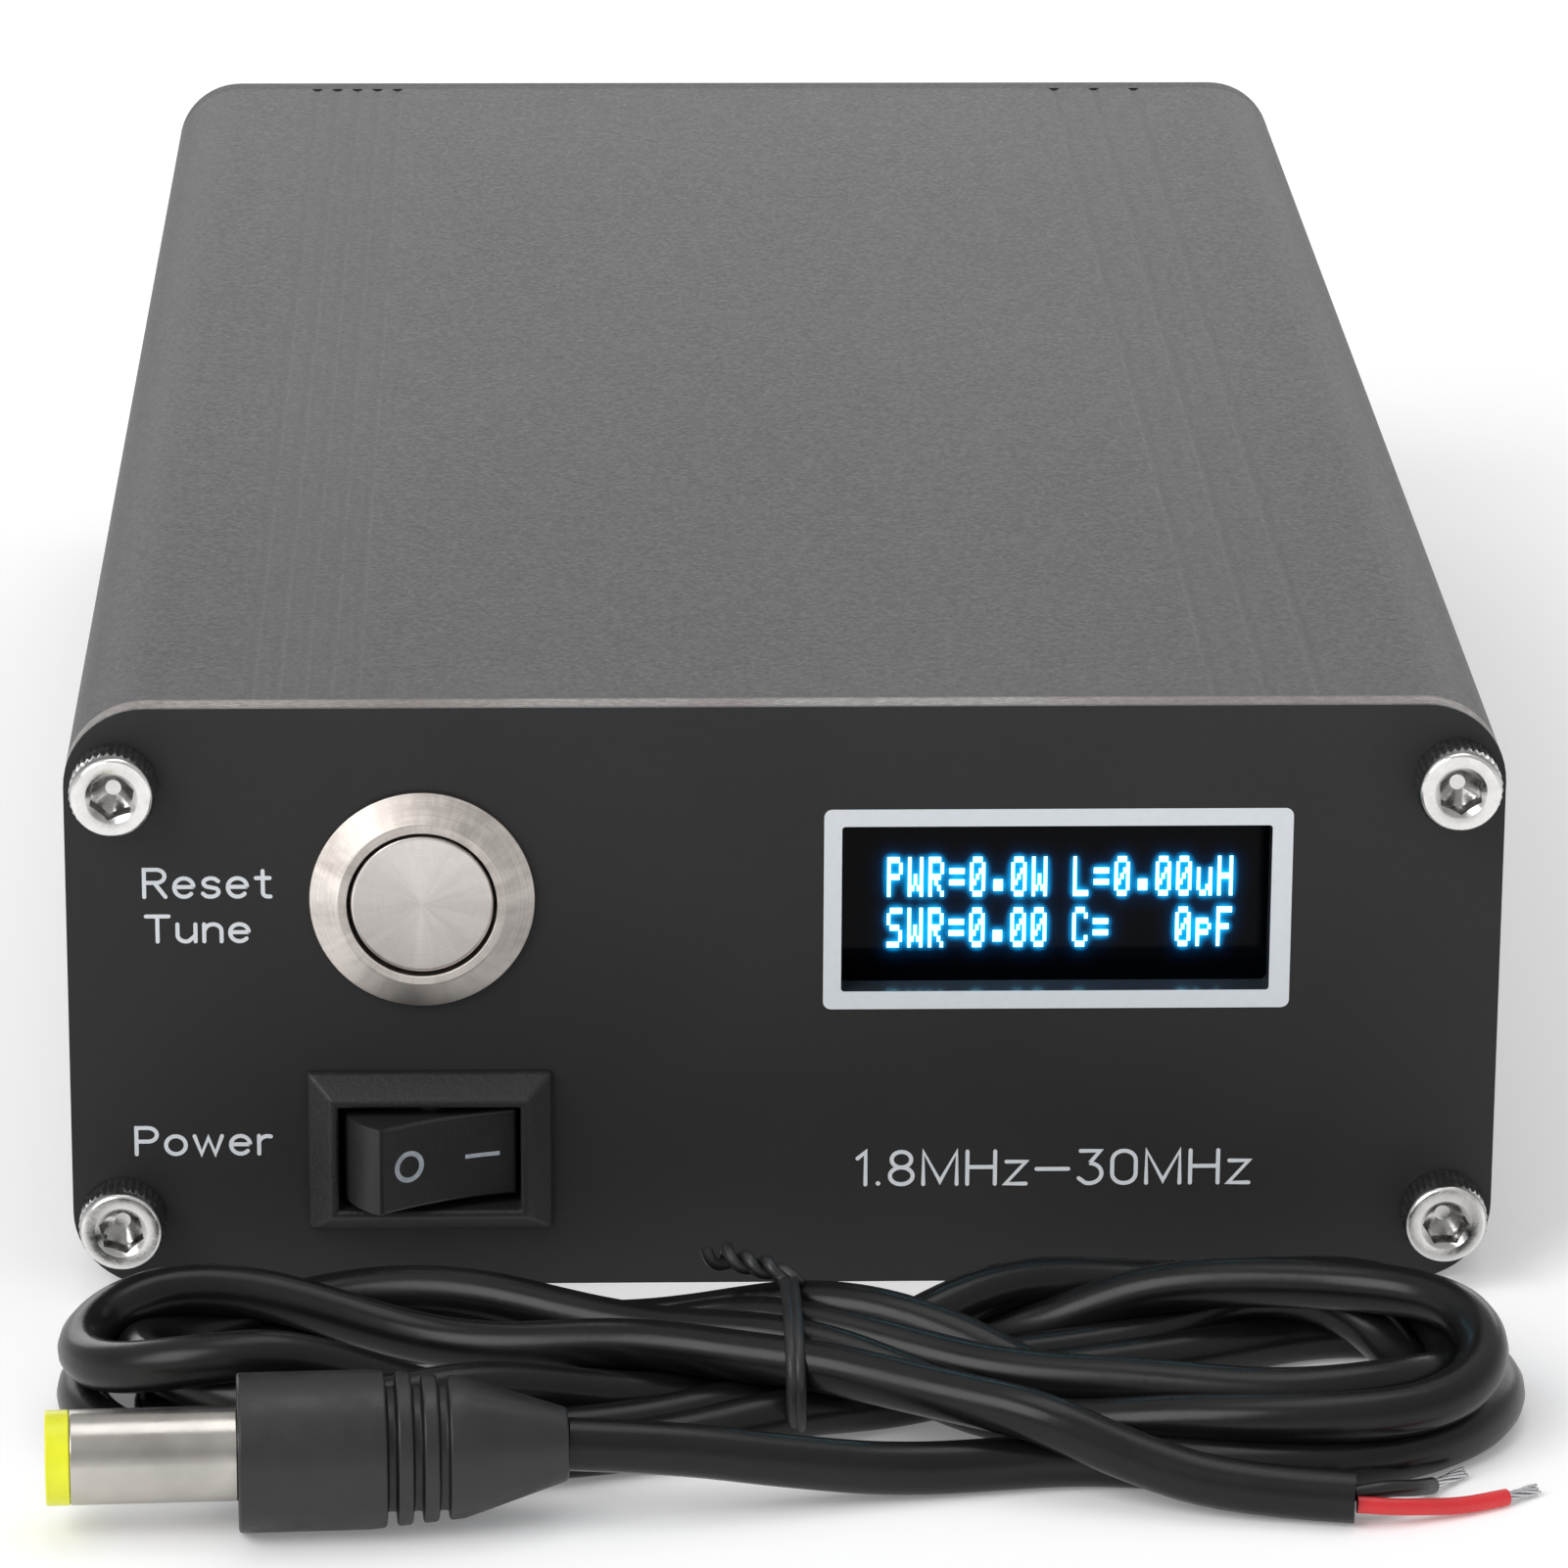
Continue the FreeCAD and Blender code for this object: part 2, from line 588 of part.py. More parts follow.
TOROID_PLACES = ["-37", "-21", "-5"]
TOROID_X = "(-19.8)"
TOROID_Z = f"({TOP} + 8.8)"
node("toroid_cores", *[
    cut(cylinder("6.35", "4.8", (TOROID_X, f"{y} - 2.4", TOROID_Z), REAR),
        cylinder("3.85", "6", (TOROID_X, f"{y} - 3", TOROID_Z), REAR)) for y in TOROID_PLACES])
turns = []
for y in TOROID_PLACES:
    for i in range(9):
        angle = 300 - 30 * i
        across = f"{TOROID_X} + 5.1 * cos({angle})"
        up = f"{TOROID_Z} + 5.1 * sin({angle})"
        turns.append(torus("3.15", "0.35", (across, y, up), Rotation(Vector(0, 1, 0), -angle)))
node("toroid_windings", *turns)
node("air_coils", *[torus("3.6", "0.4", (TOROID_X, f"{start} + {i} * 1.2", f"{TOP} + 4.1"), REAR)
                    for start in ("8", "20", "32", "44") for i in range(7)])
COUPLER_PLACES = ("-6", "4")
node("coupler_cores", *[
    cut(cylinder("4.8", "10", (x, "22", f"{TOP} + 4.9"), REAR),
        cylinder("2.4", "12", (x, "21", f"{TOP} + 4.9"), REAR)) for x in COUPLER_PLACES])
node("coupler_lines", *[cylinder("1.2", "16", (x, "19", f"{TOP} + 4.9"), REAR) for x in COUPLER_PLACES])
node("controller_socket", on_board(("10", "36", "3.5"), "4", "-24"))
node("microcontroller", cut(on_board(("7.5", "35", "3.4"), "4", "-24", "3.5"),
                            cylinder("1.2", "2", ("4", "-41.5", f"{TOP} + 5.9"))))
node("crystal", fillet(on_board(("4.4", "11", "3.6"), "-6", "-20"), 1.2,
                       lambda edge: along_axis(edge, Vector(0, 0, 1))))
node("voltage_regulator", fuse(on_board(("10", "4.4", "9"), "-6", "-49.8"),
                               on_board(("10", "1.3", "15.5"), "-6", "-47.2")))
node("electrolytic_capacitors", *[
    cut(cylinder("4", "11", (x, y, TOP)), cut(cylinder("4.5", "0.6", (x, y, f"{TOP} + 1.8")),
                                              cylinder("3.8", "0.6", (x, y, f"{TOP} + 1.8"))))
    for x, y in (("6", "-50"), ("14", "-38"))])
CONNECTOR_TOP = "7"
CONNECTORS = {"button": ("-24", "-52"), "power": ("-15.5", "-52"),
              "display": ("22", "-52"), "supply": ("0", "56")}
WIDTHS = {"button": "7.5", "power": "6", "display": "10", "supply": "7.5"}
node("board_connectors", *[on_board((WIDTHS[name], "5.8", CONNECTOR_TOP), x, y)
                           for name, (x, y) in CONNECTORS.items()])

# ---- rear sockets --------------------------------------------------------------------------------

socket_insulators = []
socket_contacts = []
for name, across in SOCKETS.items():
    def on_socket(distance, dx="0", dz="0", across=across):
        return (f"{across} + {dx}", f"{PANEL} + {distance}", f"socket_z + {dz}")

    flange_plate = fillet(box(("flange", "flange_thickness", "flange"),
                              (across, f"{PANEL} + flange_thickness / 2", "socket_z - flange / 2")),
                          1.5, lambda edge: along_axis(edge, Vector(0, 1, 0)))
    shell = fuse(flange_plate,
                 cylinder("socket_thread", "socket_reach - 0.6", on_socket("flange_thickness"), REAR),
                 cone("socket_thread", "socket_thread - 0.6", "0.6",
                      on_socket("flange_thickness + socket_reach - 0.6"), REAR),
                 cylinder("7.9", "4", on_socket("0"), FRONT))
    holes = [cylinder("clear_hole", "4", on_socket("(-1)", dx, dz), REAR) for dx, dz in FLANGE_CORNERS]
    node(f"{name}_socket_shell", cut(shell, cylinder("5.9", "24", on_socket("(-6)"), REAR), *holes))
    contact_hole = cylinder("2.6", "18", on_socket("(-4)"), REAR)
    socket_insulators.append(cut(cylinder("5.85", "12", on_socket("(-2)"), REAR), contact_hole))
    contact_depth = "10"
    slots = [box(size, (across, f"{PANEL} + {contact_depth} - 2.9", up)) for size, up in (
        (("0.4", "6", "6"), "socket_z - 3"), (("6", "6", "0.4"), "socket_z - 0.2"))]
    socket_contacts.append(cut(
        fuse(cylinder("2.55", contact_depth, on_socket("0"), REAR),
             cylinder("1.6", "12", on_socket("0"), FRONT)),
        cylinder("contact_bore", "9", on_socket("1.5"), REAR), *slots))
node("socket_insulators", *socket_insulators)
node("socket_contacts", *socket_contacts)

SOCKET_SCREWS = [(f"{across} + {dx}", f"socket_z + {dz}")
                 for across in SOCKETS.values() for dx, dz in FLANGE_CORNERS]


def flange_screw(across, up):
    """An M3 pan-head screw with a cross recess."""
    head_base = f"{PANEL} + flange_thickness"
    head = fuse(cylinder("2.8", "1.4", (across, head_base, up), REAR),
                cone("2.8", "2.0", "0.6", (across, f"{head_base} + 1.4", up), REAR),
                cylinder("thread_radius", "8", (across, head_base, up), FRONT))
    return cut(head, *[box(size, (across, f"{head_base} + 1.6", f"{up} - ({size[2]}) / 2"))
                       for size in (("3", "1.2", "0.6"), ("0.6", "1.2", "3"))])


node("socket_screws", *[flange_screw(x, z) for x, z in SOCKET_SCREWS])
node("socket_nuts", *[cut(hexagon("3.17", "2.4", (x, "case_length / 2", z), FRONT),
                          cylinder("thread_hole", "4", (x, "case_length / 2 + 1", z), FRONT))
                      for x, z in SOCKET_SCREWS])


def on_jack(distance, across="0"):
    return (across, f"{PANEL} + {distance}", "jack_z")


node("dc_jack_body", cut(fuse(cylinder("5.5", "2.5", on_jack("(-2)"), FRONT),
                              cylinder("jack_radius", "6", on_jack("(-2.1)"), REAR),
                              cylinder("5", "8", on_jack("(-4)"), FRONT)),
                         cylinder("2.9", "12", on_jack("(-8)"), REAR)))
node("dc_jack_nut", cut(hexagon("6.35", "2", on_jack("0"), REAR),
                        cylinder("jack_radius + 0.05", "4", on_jack("(-1)"), REAR)))
node("dc_jack_contacts", cylinder("1.05", "10", on_jack("(-8)"), REAR),
     *[box(("0.6", "4", "2.2"), (x, f"{PANEL} - 14", "jack_z - 1.1")) for x in ("-2", "2")])

# ---- wires inside the case -----------------------------------------------------------------------

front_y = -D["case_length"] / 2 - D["panel_thickness"]
rear_y = -front_y
board_top = D["board_z"] + D["board_thickness"]
plug_z = board_top + 3.5
connector_y = -54.9


header_x = D["display_x"] + 4.9
header_y = front_y + D["display_depth"] + 4.9
node("display_wires", *[
    tube([(header_x, header_y, D["display_z"] - step), (header_x, header_y + 6, D["display_z"] - step),
          (22 + step, connector_y - 5, plug_z), (22 + step, connector_y, plug_z)], 0.45, "display wire")
    for step in (-3.81, -1.27, 1.27, 3.81)])
button_wires = [
    tube([(D["button_x"] + dx, -62, D["button_z"]), (D["button_x"] + dx, -58, D["button_z"]),
          (-24 + dx, -58, plug_z), (-24 + dx, connector_y, plug_z)], 0.45, "button wire")
    for dx in (-2.2, 2.2)]
rocker_x = D["rocker_x"]
rocker_z = D["rocker_z"]
switch_wires = [
    tube([(rocker_x, -61.5, rocker_z + 0.8), (rocker_x, -59.4, rocker_z + 0.8), (-17, -59.4, plug_z),
          (-17, connector_y, plug_z)], 0.6, "switch wire"),
    tube([(rocker_x - 4.2, -61.5, rocker_z - 0.8), (rocker_x - 4.2, -57.5, rocker_z - 0.8),
          (-14.2, -57.5, rocker_z - 0.8), (-14.2, -57.5, plug_z), (-14.2, connector_y, plug_z)],
         0.6, "switch wire")]
supply_wires = [
    tube([(x, 66, D["jack_z"]), (x, 64, D["jack_z"]), (x, 64, plug_z), (x, 58.9, plug_z)], 0.6, "supply wire")
    for x in (-2, 2)]
node("hook_up_wires", *button_wires, *switch_wires, *supply_wires)
node("radio_frequency_leads", *[
    tube([(sign * D["socket_x"], 70, D["socket_z"]), (sign * D["socket_x"], 59, D["socket_z"]),
          (sign * D["socket_x"], 59, board_top)], 0.8, "radio-frequency lead") for sign in (-1, 1)])

# ---- DC lead in front of the tuner -----------------------------------------------------------------

PLUG_TIP = ("-43.5", "-119.5", "4.6")
PLUG_TURN = 3.0
plug_way = Rotation(Vector(0, 0, 1), PLUG_TURN)
ALONG_PLUG = plug_way.multiply(RIGHT)


def on_plug(distance):
    """A point on the plug's axis, by its distance behind the tip."""
    across, along, up = PLUG_TIP
    return (f"{across} + ({distance}) * cos({PLUG_TURN})", f"{along} + ({distance}) * sin({PLUG_TURN})", up)


def plug_ring(radius, inner, length, distance):
    return cut(cylinder(radius, length, on_plug(distance), ALONG_PLUG),
               cylinder(inner, "50", on_plug(f"{distance} - 10"), ALONG_PLUG))


node("lead_plug_tip", cut(cylinder("barrel_radius", "1.4", on_plug("0"), ALONG_PLUG),
                          cylinder("1.1", "4", on_plug("(-1)"), ALONG_PLUG)))
node("lead_plug_barrel", cut(cylinder("barrel_radius", "9.6", on_plug("1.4"), ALONG_PLUG),
                             cylinder("1.1", "9.4", on_plug("1"), ALONG_PLUG)))
boot_rings = [plug_ring("6", "3.6", "0.6", f"{19.5 + 1.5 * i}") for i in range(3)]
node("lead_plug_body", cut(fuse(cylinder("4.6", "7.5", on_plug("11"), ALONG_PLUG),
                                cone("4.6", "4.1", "5.5", on_plug("18.5"), ALONG_PLUG),
                                cone("4.1", "2.1", "6", on_plug("24"), ALONG_PLUG)), *boot_rings))


def oval(major, minor, height, at, turn):
    """An elliptical disc standing on a point, its long axis turned about Z."""
    rim = bind(document.addObject("Part::Ellipse", "Rim"), MajorRadius=major, MinorRadius=minor)
    place(rim, at, Rotation(Vector(0, 0, 1), turn))
    disc = document.addObject("Part::Extrusion", "Disc")
    disc.Base = rim
    disc.Dir = Vector(0, 0, 1)
    disc.Solid = True
    bind(disc, LengthFwd=height)
    return disc


HANK_Y = "(-102.8)"
HANK_TURN = -3
lobes = []
for sign in (-1, 1):
    middle = (f"{sign} * 22.1 * cos({HANK_TURN})", f"{HANK_Y} + {sign} * 22.1 * sin({HANK_TURN})", "0")
    lobes.append(cut(oval("22.2", "11.9", "7", middle, HANK_TURN), oval("13", "4.2", "9", middle, HANK_TURN)))
waist = box(("10", "14.4", "6.6"), ("0", HANK_Y, "0.6"))
tie_gap = box(("1.8", "30", "30"), ("0", HANK_Y, "-5"))
waist_core = box(("3", "13.2", "6.3"), ("0", HANK_Y, "0.6"))
node("lead_hank", fuse(cut(fuse(*lobes, waist), tie_gap), waist_core))
tie_band = cut(box(("1.6", "14.4", "7.5"), ("0", HANK_Y, "0")),
               box(("4", "13.2", "6.3"), ("0", HANK_Y, "0.6")))
tie_twist = cylinder("0.9", "9", ("0", f"{HANK_Y} + 3", "7.9"),
                     Rotation(Vector(0, 0, 1), 155).multiply(RIGHT))
node("lead_tie", fuse(tie_band, tie_twist))

plug_end = [float(tip) + 30 * way for tip, way in zip(PLUG_TIP, plug_way.multVec(Vector(1, 0, 0)))]
node("lead_cord_at_plug", tube([plug_end, (-7.5, -117.6, 4.2), (-1, -116.7, 2.9), (6, -115.2, 1.6),
                                (14, -113.8, 1.55)], D["cord_radius"], "cord at the plug"))
node("lead_cord_tail", tube([(9.4, -112.3, 4.9), (14, -114.8, 4.8), (19.2, -116.6, 2.9), (25, -118.3, 1.6),
                             (32, -119.3, 1.55)], D["cord_radius"], "cord's tail"))
CORES = {"positive": [(32, -119.85, 1.3), (34.4, -119.8, 1.1), (38.2, -118.6, 0.6), (41, -117.1, 0.5)],
         "negative": [(32, -118.75, 1.5), (33.8, -118.5, 1.7), (35.6, -117.3, 1.2), (36.8, -115.6, 0.6)]}
for name, points in CORES.items():
    node(f"lead_{name}_core", tube(points, D["core_radius"], f"{name} core"))
END_POINTS = {"positive": (43, -115.7, 0.4), "negative": (39, -113.2, 0.4)}
node("lead_core_ends", *[tube([CORES[name][-1], point], 0.3, f"{name} end")
                         for name, point in END_POINTS.items()])

# ---- checks and export ---------------------------------------------------------------------------

document.recompute()
failed = [f"{thing.Label}: {state}" for thing in document.Objects for state in thing.State
          if state in ("Invalid", "Error")]
failed += [thing.Label for thing in nodes if thing.Shape.isNull() or not thing.Shape.isValid()]
if failed:
    raise SystemExit("failed: " + ", ".join(failed))
os.makedirs("parts", exist_ok=True)
for thing in nodes:
    thing.Shape.exportStep(f"parts/{thing.Label}.step")
print(f"{len(nodes)} nodes written")
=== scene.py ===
import json
import math

import bmesh
import bpy
import numpy as np
from mathutils import Matrix, Vector
from mathutils.bvhtree import BVHTree


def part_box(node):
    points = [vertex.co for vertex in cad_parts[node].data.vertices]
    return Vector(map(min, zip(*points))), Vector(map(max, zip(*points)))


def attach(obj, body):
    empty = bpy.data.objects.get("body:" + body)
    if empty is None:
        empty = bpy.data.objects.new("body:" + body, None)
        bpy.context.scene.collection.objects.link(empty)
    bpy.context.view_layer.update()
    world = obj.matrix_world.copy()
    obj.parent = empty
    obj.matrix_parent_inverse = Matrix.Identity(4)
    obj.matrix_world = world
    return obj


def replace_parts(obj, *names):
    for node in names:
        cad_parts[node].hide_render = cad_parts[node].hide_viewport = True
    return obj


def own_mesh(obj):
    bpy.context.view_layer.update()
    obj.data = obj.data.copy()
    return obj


# The looks of an automatic antenna tuner with its unplugged DC lead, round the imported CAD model. Metres.
# The origin is the centre of the base, the front panel faces -Y and +Z is up.

MM = 0.001
UP = Vector((0, 0, 1))
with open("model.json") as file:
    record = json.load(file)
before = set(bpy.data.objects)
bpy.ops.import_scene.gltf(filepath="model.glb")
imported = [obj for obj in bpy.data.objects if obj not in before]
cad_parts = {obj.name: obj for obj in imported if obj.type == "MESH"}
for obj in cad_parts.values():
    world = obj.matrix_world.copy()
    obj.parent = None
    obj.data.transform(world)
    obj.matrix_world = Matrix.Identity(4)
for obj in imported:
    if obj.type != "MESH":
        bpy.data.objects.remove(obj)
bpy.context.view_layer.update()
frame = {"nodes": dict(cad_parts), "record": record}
NODES = frame["nodes"]
SLOT_OF = {part["node"]: part["material_slot"] for part in frame["record"]["subparts"]}

panel_low, panel_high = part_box("front_panel")
FACE = panel_low.y
glass_low, glass_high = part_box("display_glass")
cap_low, cap_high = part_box("button_cap")
BUTTON = ((cap_low.x + cap_high.x) / 2, (cap_low.z + cap_high.z) / 2)
rocker_low, rocker_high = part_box("rocker_housing")
ROCKER = ((rocker_low.x + rocker_high.x) / 2, (rocker_low.z + rocker_high.z) / 2)


def put(name, data):
    """A new object in the scene."""
    made = bpy.data.objects.new(name, data)
    bpy.context.scene.collection.objects.link(made)
    return made


def mesh_of(name, vertices, faces):
    mesh = bpy.data.meshes.new(name)
    mesh.from_pydata(vertices, [], faces)
    mesh.validate()
    mesh.update()
    return mesh


# ---- camera and lights ----

CAMERA_AT = Vector((-14.5, -532.9, 183.1)) * MM
YAW, PITCH, ROLL = (math.radians(angle) for angle in (1.822, 18.441, 0.345))
LENS = 179.17

forward = Vector((math.sin(YAW) * math.cos(PITCH), math.cos(YAW) * math.cos(PITCH), -math.sin(PITCH)))
level = Vector((math.cos(YAW), -math.sin(YAW), 0))
upright = level.cross(forward)
across = level * math.cos(ROLL) + upright * math.sin(ROLL)
upward = upright * math.cos(ROLL) - level * math.sin(ROLL)
camera_data = bpy.data.cameras.new("camera")
camera_data.lens = LENS
camera_data.sensor_width = 36
camera_data.clip_start, camera_data.clip_end = 0.02, 20
camera = put("camera", camera_data)
camera.matrix_world = Matrix((across, upward, -forward)).transposed().to_4x4()
camera.location = CAMERA_AT
bpy.context.scene.camera = camera
bpy.context.scene.view_settings.view_transform = "Standard"


def area_light(name, at, size, power, target=(0, 0, 0.02)):
    """A soft rectangular light that faces a target."""
    data = bpy.data.lights.new(name, "AREA")
    data.shape = "RECTANGLE"
    data.size, data.size_y = size
    data.energy = power
    light = put(name, data)
    light.location = at
    light.rotation_euler = (Vector(target) - Vector(at)).to_track_quat("-Z", "Y").to_euler()
    return light


area_light("key", (-0.75, -0.7, 0.85), (0.8, 0.8), 8.0)
area_light("top", (0.1, 0.1, 1.2), (0.5, 0.9), 2.0)
area_light("back", (0.0, 1.3, 0.45), (2.0, 0.4), 5.0)


# ---- material building ----

def new_material(name, **sockets):
    """A node material with plain values on its shader's own sockets. Returns the material and the shader."""
    material = bpy.data.materials.new(name)
    material.use_nodes = True
    shader = material.node_tree.nodes["Principled BSDF"]
    for socket, value in sockets.items():
        shader.inputs[socket.replace("_", " ")].default_value = value
    return material, shader


def add(material, kind, **settings):
    node = material.node_tree.nodes.new(kind)
    for name, value in settings.items():
        setattr(node, name, value)
    return node


class Value:
    """What a node of a material or world puts out at each point, for plain arithmetic."""

    def __init__(self, material, socket):
        self.material, self.socket = material, socket

    def into(self, socket):
        self.material.node_tree.links.new(self.socket, socket)

    def math(self, operation, other=0.0, clamp=False):
        node = add(self.material, "ShaderNodeMath", operation=operation, use_clamp=clamp)
        self.into(node.inputs[0])
        if isinstance(other, Value):
            other.into(node.inputs[1])
        else:
            node.inputs[1].default_value = other
        return Value(self.material, node.outputs[0])

    def __add__(self, other):
        return self.math("ADD", other)

    def __sub__(self, other):
        return self.math("SUBTRACT", other)

    def __mul__(self, other):
        return self.math("MULTIPLY", other)

    def __truediv__(self, other):
        return self.math("DIVIDE", other)

    def __gt__(self, other):
        return self.math("GREATER_THAN", other)

    def __lt__(self, other):
        return self.math("LESS_THAN", other)

    def __abs__(self):
        return self.math("ABSOLUTE")

    def ramp(self, stops):
        """A colour ramp from (position, colour) stops; a number stands for a grey."""
        node = add(self.material, "ShaderNodeValToRGB")
        while len(node.color_ramp.elements) < len(stops):
            node.color_ramp.elements.new(0.5)
        for element, (position, colour) in zip(node.color_ramp.elements, stops):
            element.position = position
            element.color = (colour,) * 3 + (1,) if isinstance(colour, (int, float)) else (*colour, 1)
        self.into(node.inputs["Fac"])
        return Value(self.material, node.outputs["Color"])

    def vary(self, socket, dark, light, high=0.7):
        """Run a shader's socket between two values."""
        self.ramp([(0.3, dark), (high, light)]).into(socket)

    def relief(self, shader, depth):
        """Bumps of a depth in metres."""
        node = add(self.material, "ShaderNodeBump")
        node.inputs["Distance"].default_value = depth
        self.into(node.inputs["Height"])
        Value(self.material, node.outputs["Normal"]).into(shader.inputs["Normal"])


def place(material, stretch=(1, 1, 1)):
    """The point in the row frame, stretched along each axis."""
    mapping = add(material, "ShaderNodeMapping")
    mapping.inputs["Scale"].default_value = stretch
    Value(material, add(material, "ShaderNodeTexCoord").outputs["Object"]).into(mapping.inputs["Vector"])
    return Value(material, mapping.outputs["Vector"])


def axes(vector):
    """The X, Y and Z of a vector."""
    split = add(vector.material, "ShaderNodeSeparateXYZ")
    vector.into(split.inputs[0])
    return [Value(vector.material, output) for output in split.outputs]


def noise_at(vector, scale, detail, roughness):
    node = add(vector.material, "ShaderNodeTexNoise")
    node.inputs["Scale"].default_value = scale
    node.inputs["Detail"].default_value = detail
    node.inputs["Roughness"].default_value = roughness
    vector.into(node.inputs["Vector"])
    return Value(vector.material, node.outputs["Fac"])


def noise(material, size, stretch=(1, 1, 1), detail=2.0, roughness=0.5):
    """Noise with features of about one size in metres."""
    return noise_at(place(material, stretch), 1 / size, detail, roughness)


def blend_colours(material, amount, first, second, mode="MIX"):
    """A Mix node whose inputs are values, plain numbers or colours."""
    node = add(material, "ShaderNodeMix", data_type="RGBA", blend_type=mode)
    sockets = {socket.identifier: socket for socket in node.inputs}
    for key, value in (("Factor_Float", amount), ("A_Color", first), ("B_Color", second)):
        if isinstance(value, Value):
            value.into(sockets[key])
        else:
            sockets[key].default_value = (*value, 1) if isinstance(value, tuple) else value
    return Value(material, next(socket for socket in node.outputs if socket.identifier == "Result_Color"))


# ---- sky ----

SKY = ((0.0, 0.85), (0.12, 0.80), (0.40, 0.48), (1.0, 0.64))  # height, grey
world = bpy.data.worlds.new("studio")
bpy.context.scene.world = world
world.use_nodes = True
background = world.node_tree.nodes["Background"]
background.inputs["Strength"].default_value = 0.95
_, _, skyward = axes(Value(world, add(world, "ShaderNodeTexCoord").outputs["Generated"]))
skyward.ramp([(at, (grey, grey, grey * 1.01)) for at, grey in SKY]).into(background.inputs["Color"])


# ---- finishes ----

MOTTLE = 0.12


def plain_finish(name, colour, metallic, roughness, grain, depth):
    """A moulded, plated or painted surface: a mottled colour, uneven gloss and a fine grain."""
    material, shader = new_material(name, Metallic=metallic)
    dark = tuple(c * (1 - MOTTLE) for c in colour)
    light = tuple(min(1.0, c * (1 + MOTTLE)) for c in colour)
    noise(material, 0.004, detail=3).vary(shader.inputs["Base Color"], dark, light)
    noise(material, 0.0015, detail=3).vary(shader.inputs["Roughness"], roughness * 0.8, roughness * 1.2)
    noise(material, grain).relief(shader, depth)
    return material


# name of the slot: colour, metallic, roughness, grain size, relief
FINISHES = {
    "board_blue": ((0.015, 0.05, 0.17), 0, 0.35, 0.0008, 0.00002),
    "board_black": ((0.012, 0.05, 0.025), 0, 0.35, 0.0008, 0.00002),
    "nylon_white": ((0.75, 0.75, 0.71), 0, 0.45, 0.0005, 0.00001),
    "rubber_black": ((0.02, 0.02, 0.02), 0, 0.8, 0.0003, 0.00002),
    "brass_bare": ((0.72, 0.53, 0.24), 1, 0.28, 0.0003, 0.000005),
    "nickel": ((0.52, 0.495, 0.46), 1, 0.22, 0.0004, 0.000004),
    "spring_steel": ((0.5, 0.5, 0.5), 1, 0.35, 0.0002, 0.000004),
    "ptfe_white": ((0.82, 0.81, 0.77), 0, 0.4, 0.0006, 0.00001),
    "moulded_black": ((0.025, 0.025, 0.026), 0, 0.45, 0.0003, 0.00001),
    "relay_black": ((0.02, 0.02, 0.024), 0, 0.3, 0.0004, 0.00001),
    "capacitor_brown": ((0.28, 0.10, 0.03), 0, 0.25, 0.0012, 0.00004),
    "toroid_red": ((0.42, 0.04, 0.02), 0, 0.5, 0.0005, 0.00003),
    "copper_enamel": ((0.60, 0.22, 0.07), 1, 0.25, 0.0004, 0.000005),
    "ferrite": ((0.06, 0.06, 0.062), 0, 0.6, 0.0003, 0.00002),
    "chip_black": ((0.022, 0.022, 0.023), 0, 0.5, 0.0002, 0.00001),
    "crystal_can": ((0.6, 0.6, 0.6), 1, 0.25, 0.0004, 0.000005),
    "electrolytic_sleeve": ((0.015, 0.025, 0.06), 0, 0.3, 0.0006, 0.00001),
    "wire_insulation": ((0.03, 0.03, 0.03), 0, 0.35, 0.0003, 0.000005),
    "ribbon_insulation": ((0.3, 0.3, 0.31), 0, 0.4, 0.0003, 0.000005),
    "coax_white": ((0.8, 0.79, 0.74), 0, 0.35, 0.0004, 0.000005),
    "plug_yellow": ((0.78, 0.80, 0.02), 0, 0.3, 0.0003, 0.000005),
    "plug_black": ((0.018, 0.018, 0.019), 0, 0.42, 0.0002, 0.000012),
    "core_red": ((0.70, 0.03, 0.035), 0, 0.3, 0.0003, 0.000008),
    "core_black": ((0.015, 0.015, 0.015), 0, 0.32, 0.0003, 0.000008),
    "tinned_copper": ((0.62, 0.62, 0.63), 1, 0.22, 0.0002, 0.00001),
}
MATERIALS = {slot: plain_finish(slot, *values) for slot, values in FINISHES.items()}

GROOVE_START, GROOVE_PITCH = 26.4 * MM, 1.6 * MM


def case_finish():
    """Fine blasted and anodised aluminium, with shade painted into its grooves and faint drawing lines along
    it.
    """
    material, shader = new_material("case_anodised", Metallic=0.55, Specular_IOR_Level=0.36)
    cloud = noise(material, 0.03, (1, 0.5, 1), detail=4)
    colour = cloud.ramp([(0.3, (0.0350, 0.0352, 0.0352)), (0.7, (0.0425, 0.0428, 0.0428))])
    x, _, z = axes(place(material))
    from_first = abs(x) - GROOVE_START
    among_grooves = (from_first > -GROOVE_PITCH / 2) * (from_first < GROOVE_PITCH * 4.5)
    grooved = among_grooves * (z > panel_high.z - 2 * MM)
    # Painted shade: on the top, the colour darkens towards the middle of each groove.
    wave = (from_first * (2 * math.pi / GROOVE_PITCH)).math("COSINE")
    painted_groove_shade = (wave * 0.12).math("MULTIPLY", grooved, clamp=True)
    blend_colours(material, painted_groove_shade, colour, (0.0, 0.0, 0.0)).into(shader.inputs["Base Color"])
    lines = noise(material, 0.0006, (1, 0.02, 1))
    grit = noise(material, 0.00035, detail=3, roughness=0.7)
    grit.vary(shader.inputs["Roughness"], 0.42, 0.55)
    (lines * 0.25 + grit).relief(shader, 0.000012)
    return material


